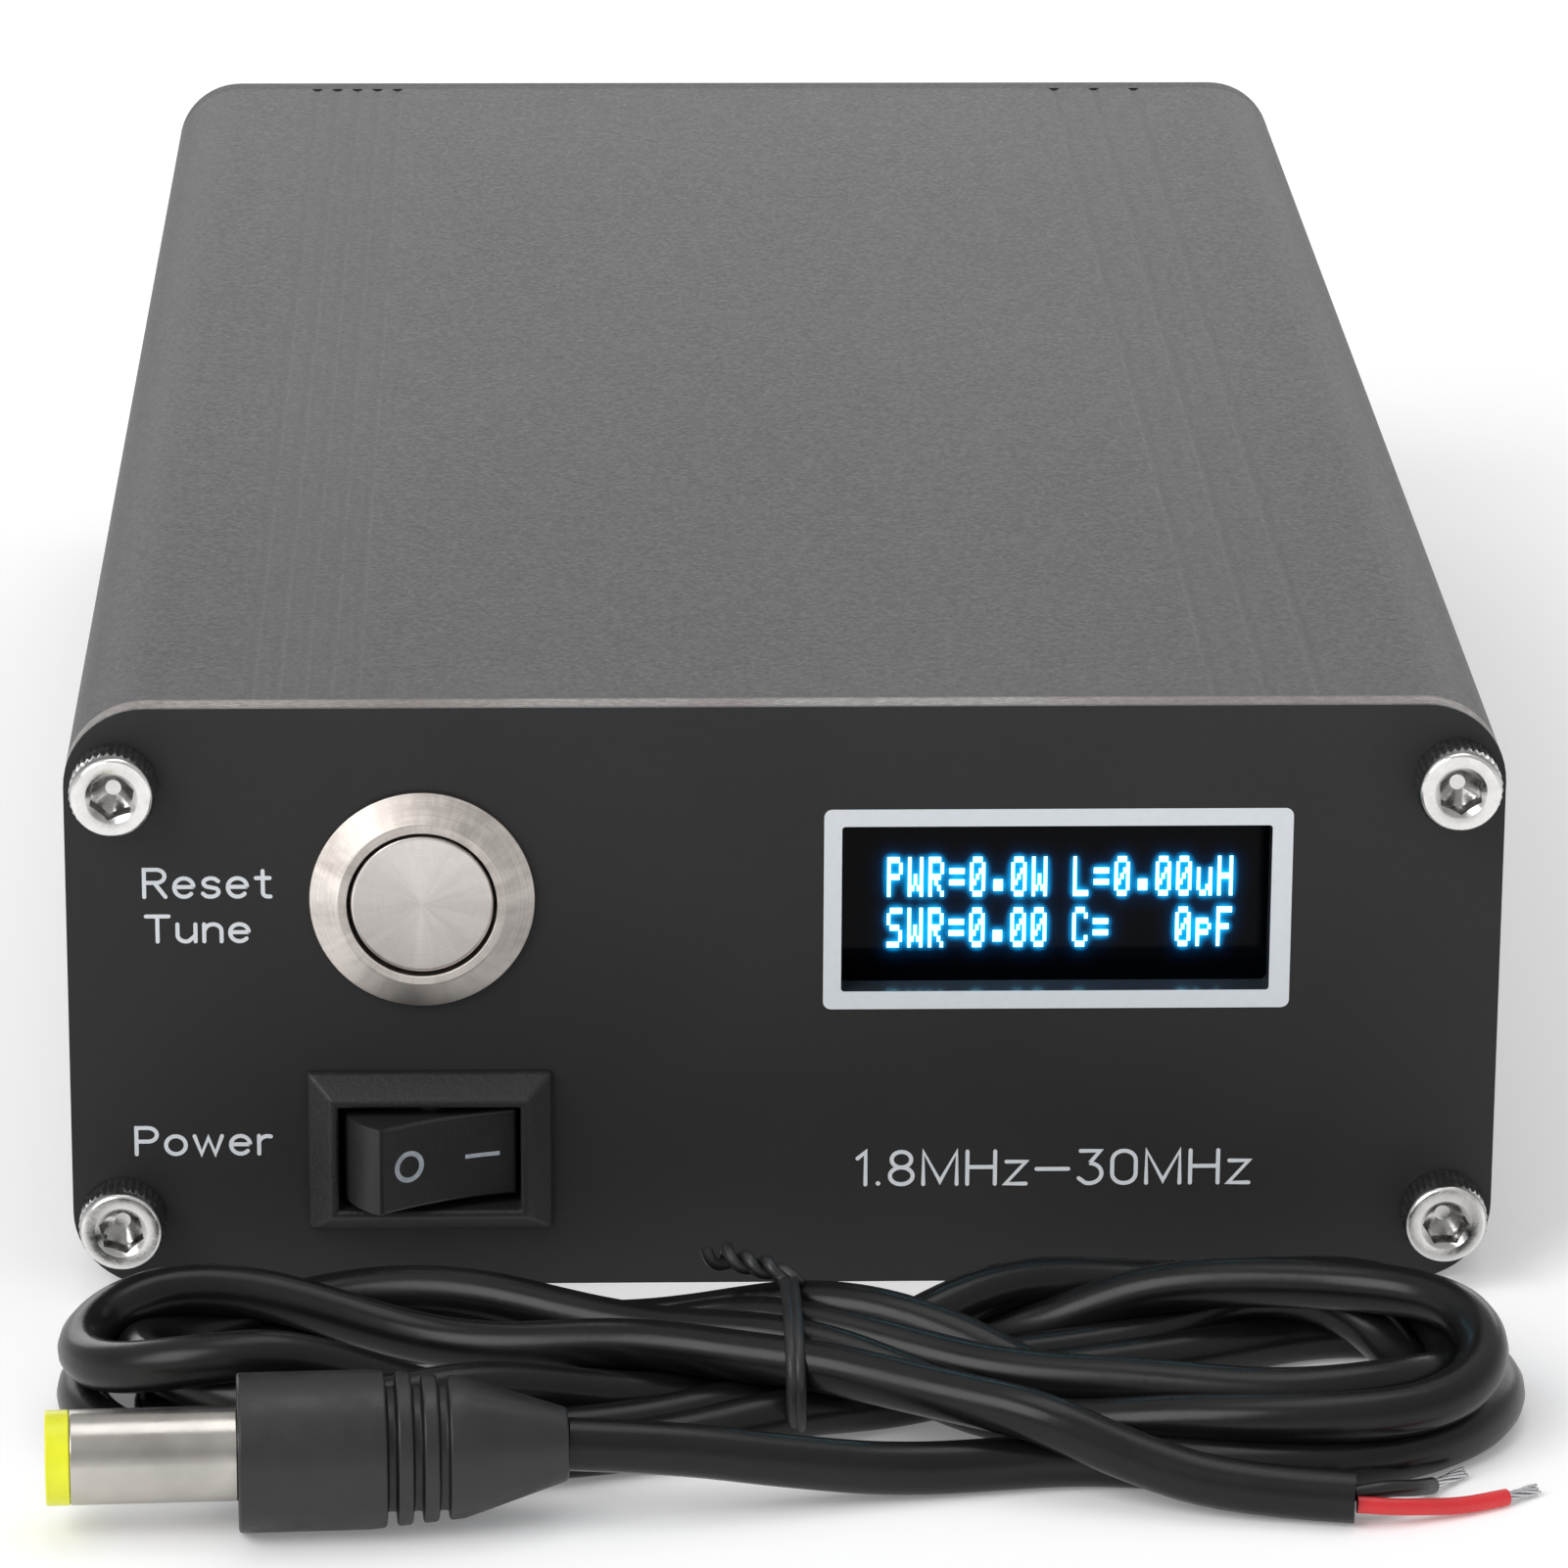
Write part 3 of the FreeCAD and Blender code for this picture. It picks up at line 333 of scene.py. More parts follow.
def panel_finish(front):
    """Black solder mask on both faces of a glass-fibre board, whose layers show at its edges."""
    material, shader = new_material("panel_front" if front else "panel_rear", Specular_IOR_Level=0.30)
    x, y, z = axes(place(material))
    _, facing, _ = axes(Value(material, add(material, "ShaderNodeTexCoord").outputs["Normal"]))
    on_edge = abs(facing) < 0.8
    half_width, middle = panel_high.x, (panel_low.z + panel_high.z) / 2
    outside = (abs(x) / half_width).math("MAXIMUM", abs(z - middle) / middle) > 0.9
    specks = add(material, "ShaderNodeTexVoronoi", feature="F1")
    specks.inputs["Scale"].default_value = 1 / 0.009
    place(material, (1, 0, 1)).into(specks.inputs["Vector"])
    dust = Value(material, specks.outputs["Distance"]) < 0.0065
    mask_colour = noise(material, 0.012, detail=4).ramp([(0.3, 0.0200), (0.7, 0.0228)])
    face_colour = blend_colours(material, dust * 0.55, mask_colour, (0.55, 0.55, 0.55))
    fibre = noise(material, 0.0006, (1, 6, 1), detail=3, roughness=0.7)
    pale = fibre.ramp([(0.35, (0.14, 0.125, 0.115)), (0.55, (0.30, 0.28, 0.265)),
                       (0.75, (0.58, 0.555, 0.535))])
    scorch = noise(material, 0.02).ramp([(0.45, 0.0), (0.62, 0.6)])
    glass = blend_colours(material, scorch, pale, (0.115, 0.08, 0.072))
    into_board = (y - FACE) * (1000 if front else -1000) * 0.5
    layer = into_board.ramp([(0.0, 0.0), (0.10, 0.25), (0.2, 0.9), (0.8, 1.0), (0.93, 0.3), (1.0, 0.1)])
    edge_colour = blend_colours(material, layer * outside, (0.030, 0.030, 0.032), glass)
    blend_colours(material, on_edge, face_colour, edge_colour).into(shader.inputs["Base Color"])
    fine = noise(material, 0.0003)
    gloss = fine.ramp([(0.3, 0.46), (0.7, 0.58)])
    window_edge = on_edge - on_edge * outside
    blend_colours(material, window_edge, gloss, (0.16, 0.16, 0.16)).into(shader.inputs["Roughness"])
    fine.relief(shader, 0.000006)
    return material


def turned_finish(name, centre, spun):
    """Turned stainless steel, facing -Y: fine circular lines, with broad fans of highlight and shade painted
    into its colour.
    """
    material, shader = new_material(name, Metallic=1.0, Anisotropic=0.5 if spun else 0.7)
    x, _, z = axes(place(material))
    beside, above = x - centre[0], z - centre[1]
    angle = above.math("ARCTAN2", beside)
    radius = (beside * beside + above * above).math("SQRT")

    def polar_noise(coordinates, scale, detail, roughness):
        vector = add(material, "ShaderNodeCombineXYZ")
        for value, socket in zip(coordinates, vector.inputs):
            value.into(socket)
        return noise_at(Value(material, vector.outputs[0]), scale, detail, roughness)

    sine = angle.math("SINE")
    # Painted highlight and shade: broad fans of lighter and darker colour round the axis stand in for the
    # sectors where the turned lines catch the light.
    painted_fans = polar_noise((sine * 0.9, angle.math("COSINE") * 0.9, radius * 60), 3.2, 5, 0.65)
    rings = polar_noise((radius * 9000, angle * 1.5), 1.0, 3, 0.5)
    tone = painted_fans * 0.75 + rings * 0.25
    if spun:
        dark, light, smooth, rough = (0.62, 0.575, 0.545), (0.79, 0.745, 0.715), 0.27, 0.38
    else:
        # Painted shade and highlight: the bezel's colour is darker at its top and lighter at its bottom.
        tone = tone - sine * 0.10
        dark, light, smooth, rough = (0.50, 0.455, 0.42), (0.86, 0.80, 0.75), 0.37, 0.47
    tone.ramp([(0.34, dark), (0.62, light)]).into(shader.inputs["Base Color"])
    tone.vary(shader.inputs["Roughness"], smooth, rough)
    tangent = add(material, "ShaderNodeTangent", direction_type="RADIAL", axis="Y")
    Value(material, tangent.outputs[0]).into(shader.inputs["Tangent"])
    rings.relief(shader, 0.0000018 if spun else 0.000003)
    return material


def spark_finish():
    """Black nylon from a spark-eroded mould: sharp grit, a little glossier in the hollows."""
    material, shader = new_material("rocker_black", Specular_IOR_Level=0.42)
    grit = noise(material, 0.00028, detail=3, roughness=0.65)
    grit.vary(shader.inputs["Base Color"], 0.0140, 0.0220, high=0.75)
    grit.vary(shader.inputs["Roughness"], 0.40, 0.55)
    grit.relief(shader, 0.00005)
    return material


def paddle_finish():
    """Smoother black nylon of the rocker's paddle."""
    material, shader = new_material("paddle_black", Specular_IOR_Level=0.42)
    grit = noise(material, 0.00022)
    grit.vary(shader.inputs["Base Color"], 0.0185, 0.0225, high=0.75)
    grit.vary(shader.inputs["Roughness"], 0.33, 0.42)
    grit.relief(shader, 0.000010)
    return material


HEAD_RADIUS, HEAD_HEIGHT = 2.65 * MM, 3.0 * MM


def screw_finish(node):
    """Rolled stainless steel, with shade painted by the distance from each screw's axis: a bright turned
    face, darker knurls and darker walls inside the socket.
    """
    material, shader = new_material(node.replace("panel_screws", "screw_steel"), Metallic=1.0)
    low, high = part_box(node)
    middle = (low.z + high.z) / 2
    x, _, z = axes(place(material))
    beside = abs(x) - (high.x - HEAD_RADIUS)
    above = abs(z - middle) - (high.z - HEAD_RADIUS - middle)
    radius = (beside * beside + above * above).math("SQRT") / HEAD_RADIUS
    # Painted shade: darker walls inside the socket, a dark line where the rim turns down, and darker knurls
    # on the sides.
    shade = radius.ramp([(0.17, 0.80), (0.19, 0.52), (0.40, 0.46), (0.575, 0.60), (0.61, 0.86), (0.83, 0.88),
                         (0.86, 0.92), (0.93, 0.85), (0.945, 0.32), (1.0, 0.66)])
    marks = noise(material, 0.0007, detail=4, roughness=0.7)
    tint = marks.ramp([(0.3, (0.80, 0.785, 0.765)), (0.7, (1.0, 0.985, 0.965))])
    blend_colours(material, 1, shade, tint, "MULTIPLY").into(shader.inputs["Base Color"])
    marks.vary(shader.inputs["Roughness"], 0.16, 0.30)
    noise(material, 0.00022, detail=3).relief(shader, 0.000006)
    return material


def glass_finish():
    """The dark polarised face of the display."""
    material, shader = new_material("display_glass", Specular_IOR_Level=0.06)
    smear = noise(material, 0.003, detail=3)
    smear.vary(shader.inputs["Base Color"], (0.0012, 0.0018, 0.0026), (0.002, 0.0028, 0.004))
    smear.vary(shader.inputs["Roughness"], 0.07, 0.13)
    return material


def cord_finish():
    """Extruded PVC with faint draw lines and dull patches."""
    material, shader = new_material("cord_black", Specular_IOR_Level=0.3)
    patch = noise(material, 0.006, detail=4)
    patch.vary(shader.inputs["Base Color"], 0.0060, 0.0090)
    patch.vary(shader.inputs["Roughness"], 0.22, 0.32)
    noise(material, 0.0007, detail=3).relief(shader, 0.00001)
    return material


def print_finish(name, dark, light):
    """Screen-printed ink, very slightly uneven."""
    material, shader = new_material(name, Specular_IOR_Level=0.3)
    ink = noise(material, 0.0005, detail=3)
    ink.vary(shader.inputs["Base Color"], dark, light)
    ink.vary(shader.inputs["Roughness"], 0.5, 0.65)
    ink.relief(shader, 0.000006)
    return material


MATERIALS["case_anodised"] = case_finish()
MATERIALS["rocker_black"] = spark_finish()
MATERIALS["display_glass"] = glass_finish()
MATERIALS["cord_black"] = cord_finish()
PRINT = print_finish("print_white", (0.715, 0.75, 0.785), (0.745, 0.78, 0.815))
MARK = print_finish("mark_grey", (0.40, 0.44, 0.49), (0.50, 0.55, 0.60))
OWN_MATERIALS = {
    "front_panel": panel_finish(True),
    "rear_panel": panel_finish(False),
    "button_housing": turned_finish("button_bezel_steel", BUTTON, spun=False),
    "button_cap": turned_finish("button_cap_steel", BUTTON, spun=True),
    "rocker_paddle": paddle_finish(),
    "front_panel_screws": screw_finish("front_panel_screws"),
    "rear_panel_screws": screw_finish("rear_panel_screws"),
}
for name, node in NODES.items():
    node.data.materials.clear()
    node.data.materials.append(OWN_MATERIALS.get(name) or MATERIALS[SLOT_OF[name]])


def finished(name, mesh, material, body="tuner", crease=None):
    """A mesh as a piece of the object, with its material and body."""
    piece = put(name, mesh)
    mesh.materials.clear()
    mesh.materials.append(material)
    mesh.shade_smooth()
    if crease is not None:
        mesh.set_sharp_from_angle(angle=math.radians(crease))
    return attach(piece, body)


# ---- floor ----

floor = put("floor", mesh_of("floor", [(-4, -4, 0), (4, -4, 0), (4, 4, 0), (-4, 4, 0)], [(0, 1, 2, 3)]))
floor_material, floor_shader = new_material("floor_white", Roughness=0.9, Specular_IOR_Level=0.1)
noise(floor_material, 0.4).vary(floor_shader.inputs["Base Color"], 0.90, 0.92)
floor_shader.inputs["Emission Color"].default_value = (1, 1, 1, 1)
floor_shader.inputs["Emission Strength"].default_value = 0.16
floor.data.materials.append(floor_material)


# ---- the DC lead ----

CORD = 3.1 * MM
PLUG_RUN = [(-13.54, -117.93, 4.6), (-7.5, -117.6, 4.2), (-1, -116.7, 2.9), (6, -115.2, 1.6),
            (14, -113.8, 1.55)]
TAIL_RUN = [(9.4, -112.3, 4.9), (14, -114.8, 4.8), (19.2, -116.6, 2.9), (25, -118.3, 1.6),
            (32, -119.3, 1.55)]
HANK_Y = -102.8
HANK_TURN = math.radians(-3)
STEP = 3.0
GATHER = 16.0  # the turns draw together this near to the tie
TIE_HALF_WIDTH, TIE_HALF_DEPTH, TIE_LOW, TIE_HIGH = 2.2, 5.0, 2.15, 5.45
HANK_END, HANK_BACK, HANK_FRONT, FRONT_AT_PLUG = 43.2, 11.2, -11.4, -10.0

# How the cord settles at each round: its weight and stiffness, how much of a stretch or an overlap is
# undone, and the most that a point moves for those two.
WEIGHT, STIFFNESS, UNSTRETCH, UNLAP, MOST = 0.015, 0.22, 0.45, 0.42, 0.3

# Each loop of the hank: side, reach, half widths behind and in front, height, then where the cord next
# passes through the tie: across and up. Millimetres from the hank's centre.
LOOPS = [
    (+1, 42.6, 10.4, 9.4, 1.6, -4.8, 2.2), (-1, 42.8, 10.4, 9.6, 1.6, 4.9, 5.3),
    (+1, 36.8, 8.2, 8.0, 1.9, -1.6, 2.2), (-1, 37.8, 8.2, 8.0, 1.9, 1.6, 5.3),
    (+1, 40.2, 7.4, 8.8, 4.8, 1.6, 2.2), (-1, 39.8, 7.2, 8.6, 4.8, -1.7, 5.3),
    (+1, 42.4, 5.6, 9.9, 5.2, 4.8, 2.2), (-1, 42.2, 6.6, 9.2, 5.2, -4.9, 5.3),
]


def spaced(line, step):
    """A line's points again, about a step apart."""
    along = np.concatenate([[0], np.cumsum(np.linalg.norm(np.diff(line, axis=0), axis=1))])
    at = np.linspace(0, along[-1], round(along[-1] / step) + 1)
    return np.stack([np.interp(at, along, line[:, axis]) for axis in range(3)], axis=1)


def wound():
    """The hank as it is wound: a figure of eight whose loops all pass through the tie."""
    points = []
    for index, (side, reach, behind, before, height, *after) in enumerate(LOOPS):
        came_from = LOOPS[index - 1][5:] if index else (-10.0, 2.2)
        for turn in np.linspace(0, math.pi, 41)[:-1] + math.pi / 80:
            out = side * reach * math.sin(turn)
            swing = math.sin(2 * turn)
            wide = -before * swing ** 0.85 if swing > 0 else behind * (-swing) ** 0.85
            tied = max(0.0, 1 - abs(out) / GATHER)
            tied = tied ** 2 * (3 - 2 * tied)
            tie_across, tie_up = came_from if swing > 0 else after
            y = wide * (1 - 0.25 * tied) + tied * tie_across
            points.append((out, y, height + (tie_up - height) * tied))
    points = np.array(points)
    cosine, sine = math.cos(HANK_TURN), math.sin(HANK_TURN)
    points[:, :2] = points[:, :2] @ np.array([[cosine, sine], [-sine, cosine]]) + (0, HANK_Y)
    return points[np.argmax(points[:, 0] > 22):-12]


def settle(points, held, rounds):
    """Let the wound cord find its lie, by its length, stiffness and weight, its other turns and the tie."""
    diameter = CORD / MM
    index = np.arange(len(points))
    other_turn = np.triu(np.abs(index[:, None] - index[None]) > 3)
    free = ~held[:, None]
    inside = (index > 16) & (index < len(points) - 14)
    for _ in range(rounds):
        moved = points.copy()
        moved[:, 2] -= WEIGHT
        curl = np.zeros_like(moved)
        curl[1:-1] = (moved[:-2] + moved[2:]) / 2 - moved[1:-1]
        moved[2:-2] += STIFFNESS * (curl[2:-2] * 2 - curl[1:-3] - curl[3:-1])
        moved = np.where(free, moved, points)
        gap = np.linalg.norm(moved[:, None] - moved[None], axis=2)
        one, other = np.nonzero(other_turn & (gap < diameter * 1.15))
        for _ in range(5):
            run = moved[1:] - moved[:-1]
            long = np.linalg.norm(run, axis=1, keepdims=True)
            stretch = run * (long - STEP) / long * UNSTRETCH
            shift = np.zeros_like(moved)
            shift[:-1] += stretch
            shift[1:] -= stretch
            between = moved[one] - moved[other]
            gap = np.linalg.norm(between, axis=1, keepdims=True)
            push = between / gap * np.maximum(0, diameter - gap) * UNLAP
            np.add.at(shift, one, push)
            np.add.at(shift, other, -push)
            moved += np.where(free, np.clip(shift, -MOST, MOST), 0)
            above_floor = np.maximum(moved[:, 2], diameter / 2)
            moved[:, 2] = np.where(free[:, 0], above_floor, moved[:, 2])
            tied = free[:, 0] & (np.abs(moved[:, 0]) < TIE_HALF_WIDTH) & (moved[:, 1] > HANK_Y - 9)
            moved[tied, 1] = np.clip(moved[tied, 1], HANK_Y - TIE_HALF_DEPTH, HANK_Y + TIE_HALF_DEPTH)
            moved[tied, 2] = np.clip(moved[tied, 2], TIE_LOW, TIE_HIGH)
            front = np.where(moved[inside, 0] < -8, HANK_Y + FRONT_AT_PLUG, HANK_Y + HANK_FRONT)
            moved[inside, 1] = np.clip(moved[inside, 1], front, HANK_Y + HANK_BACK)
            moved[:, 0] = np.clip(moved[:, 0], -HANK_END, HANK_END)
        points = moved
    return points


def lead_points():
    """The lead's control points in metres: listed at the plug and the tail, wound and settled between."""
    before, after = spaced(np.array(PLUG_RUN), STEP), spaced(np.array(TAIL_RUN), STEP)
    middle = spaced(np.vstack([PLUG_RUN[-1:], wound(), TAIL_RUN[:1]]), STEP)[1:-1]
    chain = np.vstack([before, middle, after])
    held = np.ones(len(chain), bool)
    held[len(before):-len(after)] = False
    coil = settle(chain, held, rounds=1500)[len(before):-len(after)]
    return np.vstack([PLUG_RUN, coil, TAIL_RUN]) * MM


def swept_curve(name, points, radius, material, resolution=6, bevel=6):
    """One smooth open NURBS curve with a round section."""
    curve = bpy.data.curves.new(name, "CURVE")
    curve.dimensions = "3D"
    curve.bevel_depth = radius
    curve.bevel_resolution = bevel
    curve.use_fill_caps = True
    spline = curve.splines.new("NURBS")
    spline.points.add(len(points) - 1)
    for target, point in zip(spline.points, points):
        target.co = (*point, 1)
    spline.order_u = 3
    spline.use_endpoint_u = True
    spline.resolution_u = resolution
    curve.materials.append(material)
    return put(name, curve)


cord = swept_curve("lead_cord", lead_points(), CORD / 2, MATERIALS["cord_black"])
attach(cord, "tuner")
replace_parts(cord, "lead_hank", "lead_cord_at_plug", "lead_cord_tail")


TIE_RADIUS = 0.38 * MM
TIE_CENTRE = Vector((0, HANK_Y, 3.75)) * MM
TIE_RING = (6.75 * MM, 3.4 * MM)


def wire_tie():
    """A wire tie: two turns side by side round the bundle, their two tails twisted together behind it."""
    loop = []
    steps = 72
    for step in range(steps + 1):
        angle = 4 * math.pi * step / steps + math.radians(60)
        y, z = (math.copysign(abs(part) ** 0.75, part) * half
                for part, half in zip((math.cos(angle), math.sin(angle)), TIE_RING))
        loop.append(TIE_CENTRE + Vector(((step / steps - 0.5) * 0.9 * MM, y, z)))
    heading = Vector((-0.82, 0.57, 0)).normalized()
    sideways = Vector((-heading.y, heading.x, 0))
    tails = []
    for phase in (0, math.pi):
        tail = []
        for step in range(19):
            share = step / 18
            spin = phase + share * 3.2 * math.pi
            middle = loop[0] + heading * ((1.0 + 4.6 * share) * MM) + Vector((0.4, 0, 0.55)) * MM
            apart = 0.40 * MM * (1 if share < 0.8 else 1 + (share - 0.8) * 9)
            tail.append(middle + (sideways * math.cos(spin) + UP * math.sin(spin)) * apart)
        tails.append(tail)
    return [*reversed(tails[0]), *loop, *tails[1]]


tie = swept_curve("lead_wire_tie", wire_tie(), TIE_RADIUS, MATERIALS["plug_black"], resolution=3, bevel=3)
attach(tie, "tuner")
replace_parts(tie, "lead_tie")

# Where each core's tinned end starts and stops, in millimetres.
TINNED = [((41, -117.1, 0.5), (43, -115.7, 0.4)), ((36.8, -115.6, 0.6), (39, -113.2, 0.4))]


def strands():
    """The tinned end of each core: seven fine strands, loosely twisted, their tips a little apart."""
    vertices, faces = [], []
    sides, steps = 6, 12
    for start, end in TINNED:
        start, end = Vector(start) * MM, Vector(end) * MM
        way = (end - start).normalized()
        one = way.cross(UP).normalized()
        other = way.cross(one)
        for strand in range(7):
            ring_radius = 0 if strand == 0 else 0.2 * MM
            for step in range(steps + 1):
                share = step / steps
                angle = strand * math.pi / 3 + share * 2.6
                out = ring_radius * (1 + 0.35 * share * (strand % 3) / 2)
                middle = start + (end - start) * share * (1 - 0.03 * (strand % 4)) \
                    + (one * math.cos(angle) + other * math.sin(angle)) * out
                middle.z = max(middle.z, 0.12 * MM)
                for side in range(sides):
                    turn = 2 * math.pi * side / sides
                    vertices.append(middle + (one * math.cos(turn) + other * math.sin(turn)) * 0.1 * MM)
            base = len(vertices) - sides * (steps + 1)
            for step in range(steps):
                for side in range(sides):
                    first = base + step * sides + side
                    second = base + step * sides + (side + 1) % sides
                    faces.append((first, second, second + sides, first + sides))
            faces.append(tuple(base + side for side in reversed(range(sides))))
            faces.append(tuple(base + steps * sides + side for side in range(sides)))
    return mesh_of("lead_core_strands", vertices, faces)


strand_piece = finished("lead_core_strands", strands(), MATERIALS["tinned_copper"])
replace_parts(strand_piece, "lead_core_ends")


# ---- socket-head screws ----

HEX_FLAT = 1.25 * MM
SOCKET_MOUTH = 1.60 * MM
AROUND, KNURLS = 144, 36


def knurled(step):
    """The knurls' radius at a step round the head."""
    phase = step * KNURLS / AROUND % 1.0
    return HEAD_RADIUS * (0.962 + 0.038 * (1 - abs(2 * phase - 1)) ** 0.8)


def hexagonal(step):
    """The socket's radius at a step round the head."""
    angle = 2 * math.pi * step / AROUND
    nearest = (angle + math.pi / 6) % (math.pi / 3) - math.pi / 6
    return HEX_FLAT / math.cos(nearest)


# The head from its seat up, over its rim and down its socket: radius, height. A height of None is the
# chamfer round the hexagon, which rises with the radius.
HEAD_PROFILE = [
    (HEAD_RADIUS * 0.955, 0.0), (HEAD_RADIUS * 0.965, 0.12 * MM),
    (knurled, 0.3 * MM), (knurled, 1.0 * MM), (knurled, 1.8 * MM), (knurled, 2.35 * MM),
    (HEAD_RADIUS * 0.968, 2.5 * MM), (HEAD_RADIUS * 0.955, 2.65 * MM), (HEAD_RADIUS * 0.93, 2.84 * MM),
    (HEAD_RADIUS * 0.90, 2.95 * MM), (HEAD_RADIUS * 0.87, HEAD_HEIGHT),
    (SOCKET_MOUTH + 0.03 * MM, HEAD_HEIGHT), (SOCKET_MOUTH, HEAD_HEIGHT - 0.015 * MM),
    (hexagonal, None), (hexagonal, 1.5 * MM),
    (1.19 * MM, 1.42 * MM), (0.50 * MM, 0.80 * MM), (0.46 * MM, 0.79 * MM),
]


def socket_head(mesh, centre, outward, turn):
    """A cap screw's head: rolled knurls, a rounded rim, a chamfered hexagon socket drilled to a cone."""
    side = UP.cross(outward)
    rings = []
    for shape, height in HEAD_PROFILE:
        ring = []
        for step in range(AROUND):
            radius = shape(step) if callable(shape) else shape
            rise = HEAD_HEIGHT - (SOCKET_MOUTH - radius) * 0.85 if height is None else height
            angle = 2 * math.pi * step / AROUND + turn
            spoke = side * math.cos(angle) + UP * math.sin(angle)
            ring.append(mesh.verts.new(centre + outward * rise + spoke * radius))
        rings.append(ring)
    for low, high in zip(rings, rings[1:]):
        for step in range(AROUND):
            following = (step + 1) % AROUND
            mesh.faces.new((low[step], low[following], high[following], high[step]))
    mesh.faces.new(rings[-1])
    mesh.faces.new(list(reversed(rings[0])))


def screws(name, node, outward):
    """Four cap screws in place of a panel's, each turned its own way."""
    low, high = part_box(node)
    x = (high.x - low.x) / 2 - HEAD_RADIUS
    middle = (high.z + low.z) / 2
    z = (high.z - low.z) / 2 - HEAD_RADIUS
    surface = low.y + HEAD_HEIGHT if outward.y < 0 else high.y - HEAD_HEIGHT
    build = bmesh.new()
    for sign_x, sign_z, turn in ((-1, -1, 12), (-1, 1, 50), (1, -1, 31), (1, 1, 4)):
        centre = Vector((sign_x * x, surface, middle + sign_z * z))
        socket_head(build, centre, outward, math.radians(turn))
    mesh = bpy.data.meshes.new(name)
    bmesh.ops.recalc_face_normals(build, faces=build.faces)
    build.to_mesh(mesh)
    build.free()
    piece = finished(name, mesh, OWN_MATERIALS[node], crease=28)
    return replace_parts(piece, node)


screws("front_cap_screws", "front_panel_screws", Vector((0, -1, 0)))
screws("rear_cap_screws", "rear_panel_screws", Vector((0, 1, 0)))


# ---- printing on the panel ----

INK, CLIMB = 0.03 * MM, 0.003 * MM
STROKE, LETTER_GAP = 0.25 * MM, 0.26


def arc(cx, cz, rx, rz, start, end, steps=10):
    """Points of an ellipse between two angles in degrees."""
    angles = [math.radians(start + (end - start) * step / steps) for step in range(steps + 1)]
    return [(cx + rx * math.cos(angle), cz + rz * math.sin(angle)) for angle in angles]


def rounded_outline(low, high, radius, steps=6):
    """A rectangle with rounded corners, in metres from one in millimetres."""
    left, bottom, right, top = low[0] + radius, low[1] + radius, high[0] - radius, high[1] - radius
    points = []
    for x, z, start in ((right, top, 0), (left, top, 90), (left, bottom, 180), (right, bottom, 270)):
        points += arc(x * MM, z * MM, radius * MM, radius * MM, start, start + 90, steps)
    return points


def printed_frame(name, outer, inner):
    """A printed frame between two outlines with the same number of points."""
    count = len(outer)
    vertices, faces = [], []
    for depth in (0, INK):
        for outline in (outer, inner):
            vertices += [(x, FACE - depth, z) for x, z in outline]
    for step in range(count):
        following = (step + 1) % count
        back = step, following, count + following, count + step
        front = [index + 2 * count for index in back]
        faces += [(front[0], front[3], front[2], front[1]), back,
                  (back[0], front[0], front[1], back[1]), (back[3], back[2], front[2], front[3])]
    return finished(name, mesh_of(name, vertices, faces), PRINT, crease=20)


printed_frame("window_frame_print", rounded_outline((2.32, 18.05), (31.05, 31.0), 0.5),
              rounded_outline((3.42, 19.2), (29.78, 29.9), 0.2))


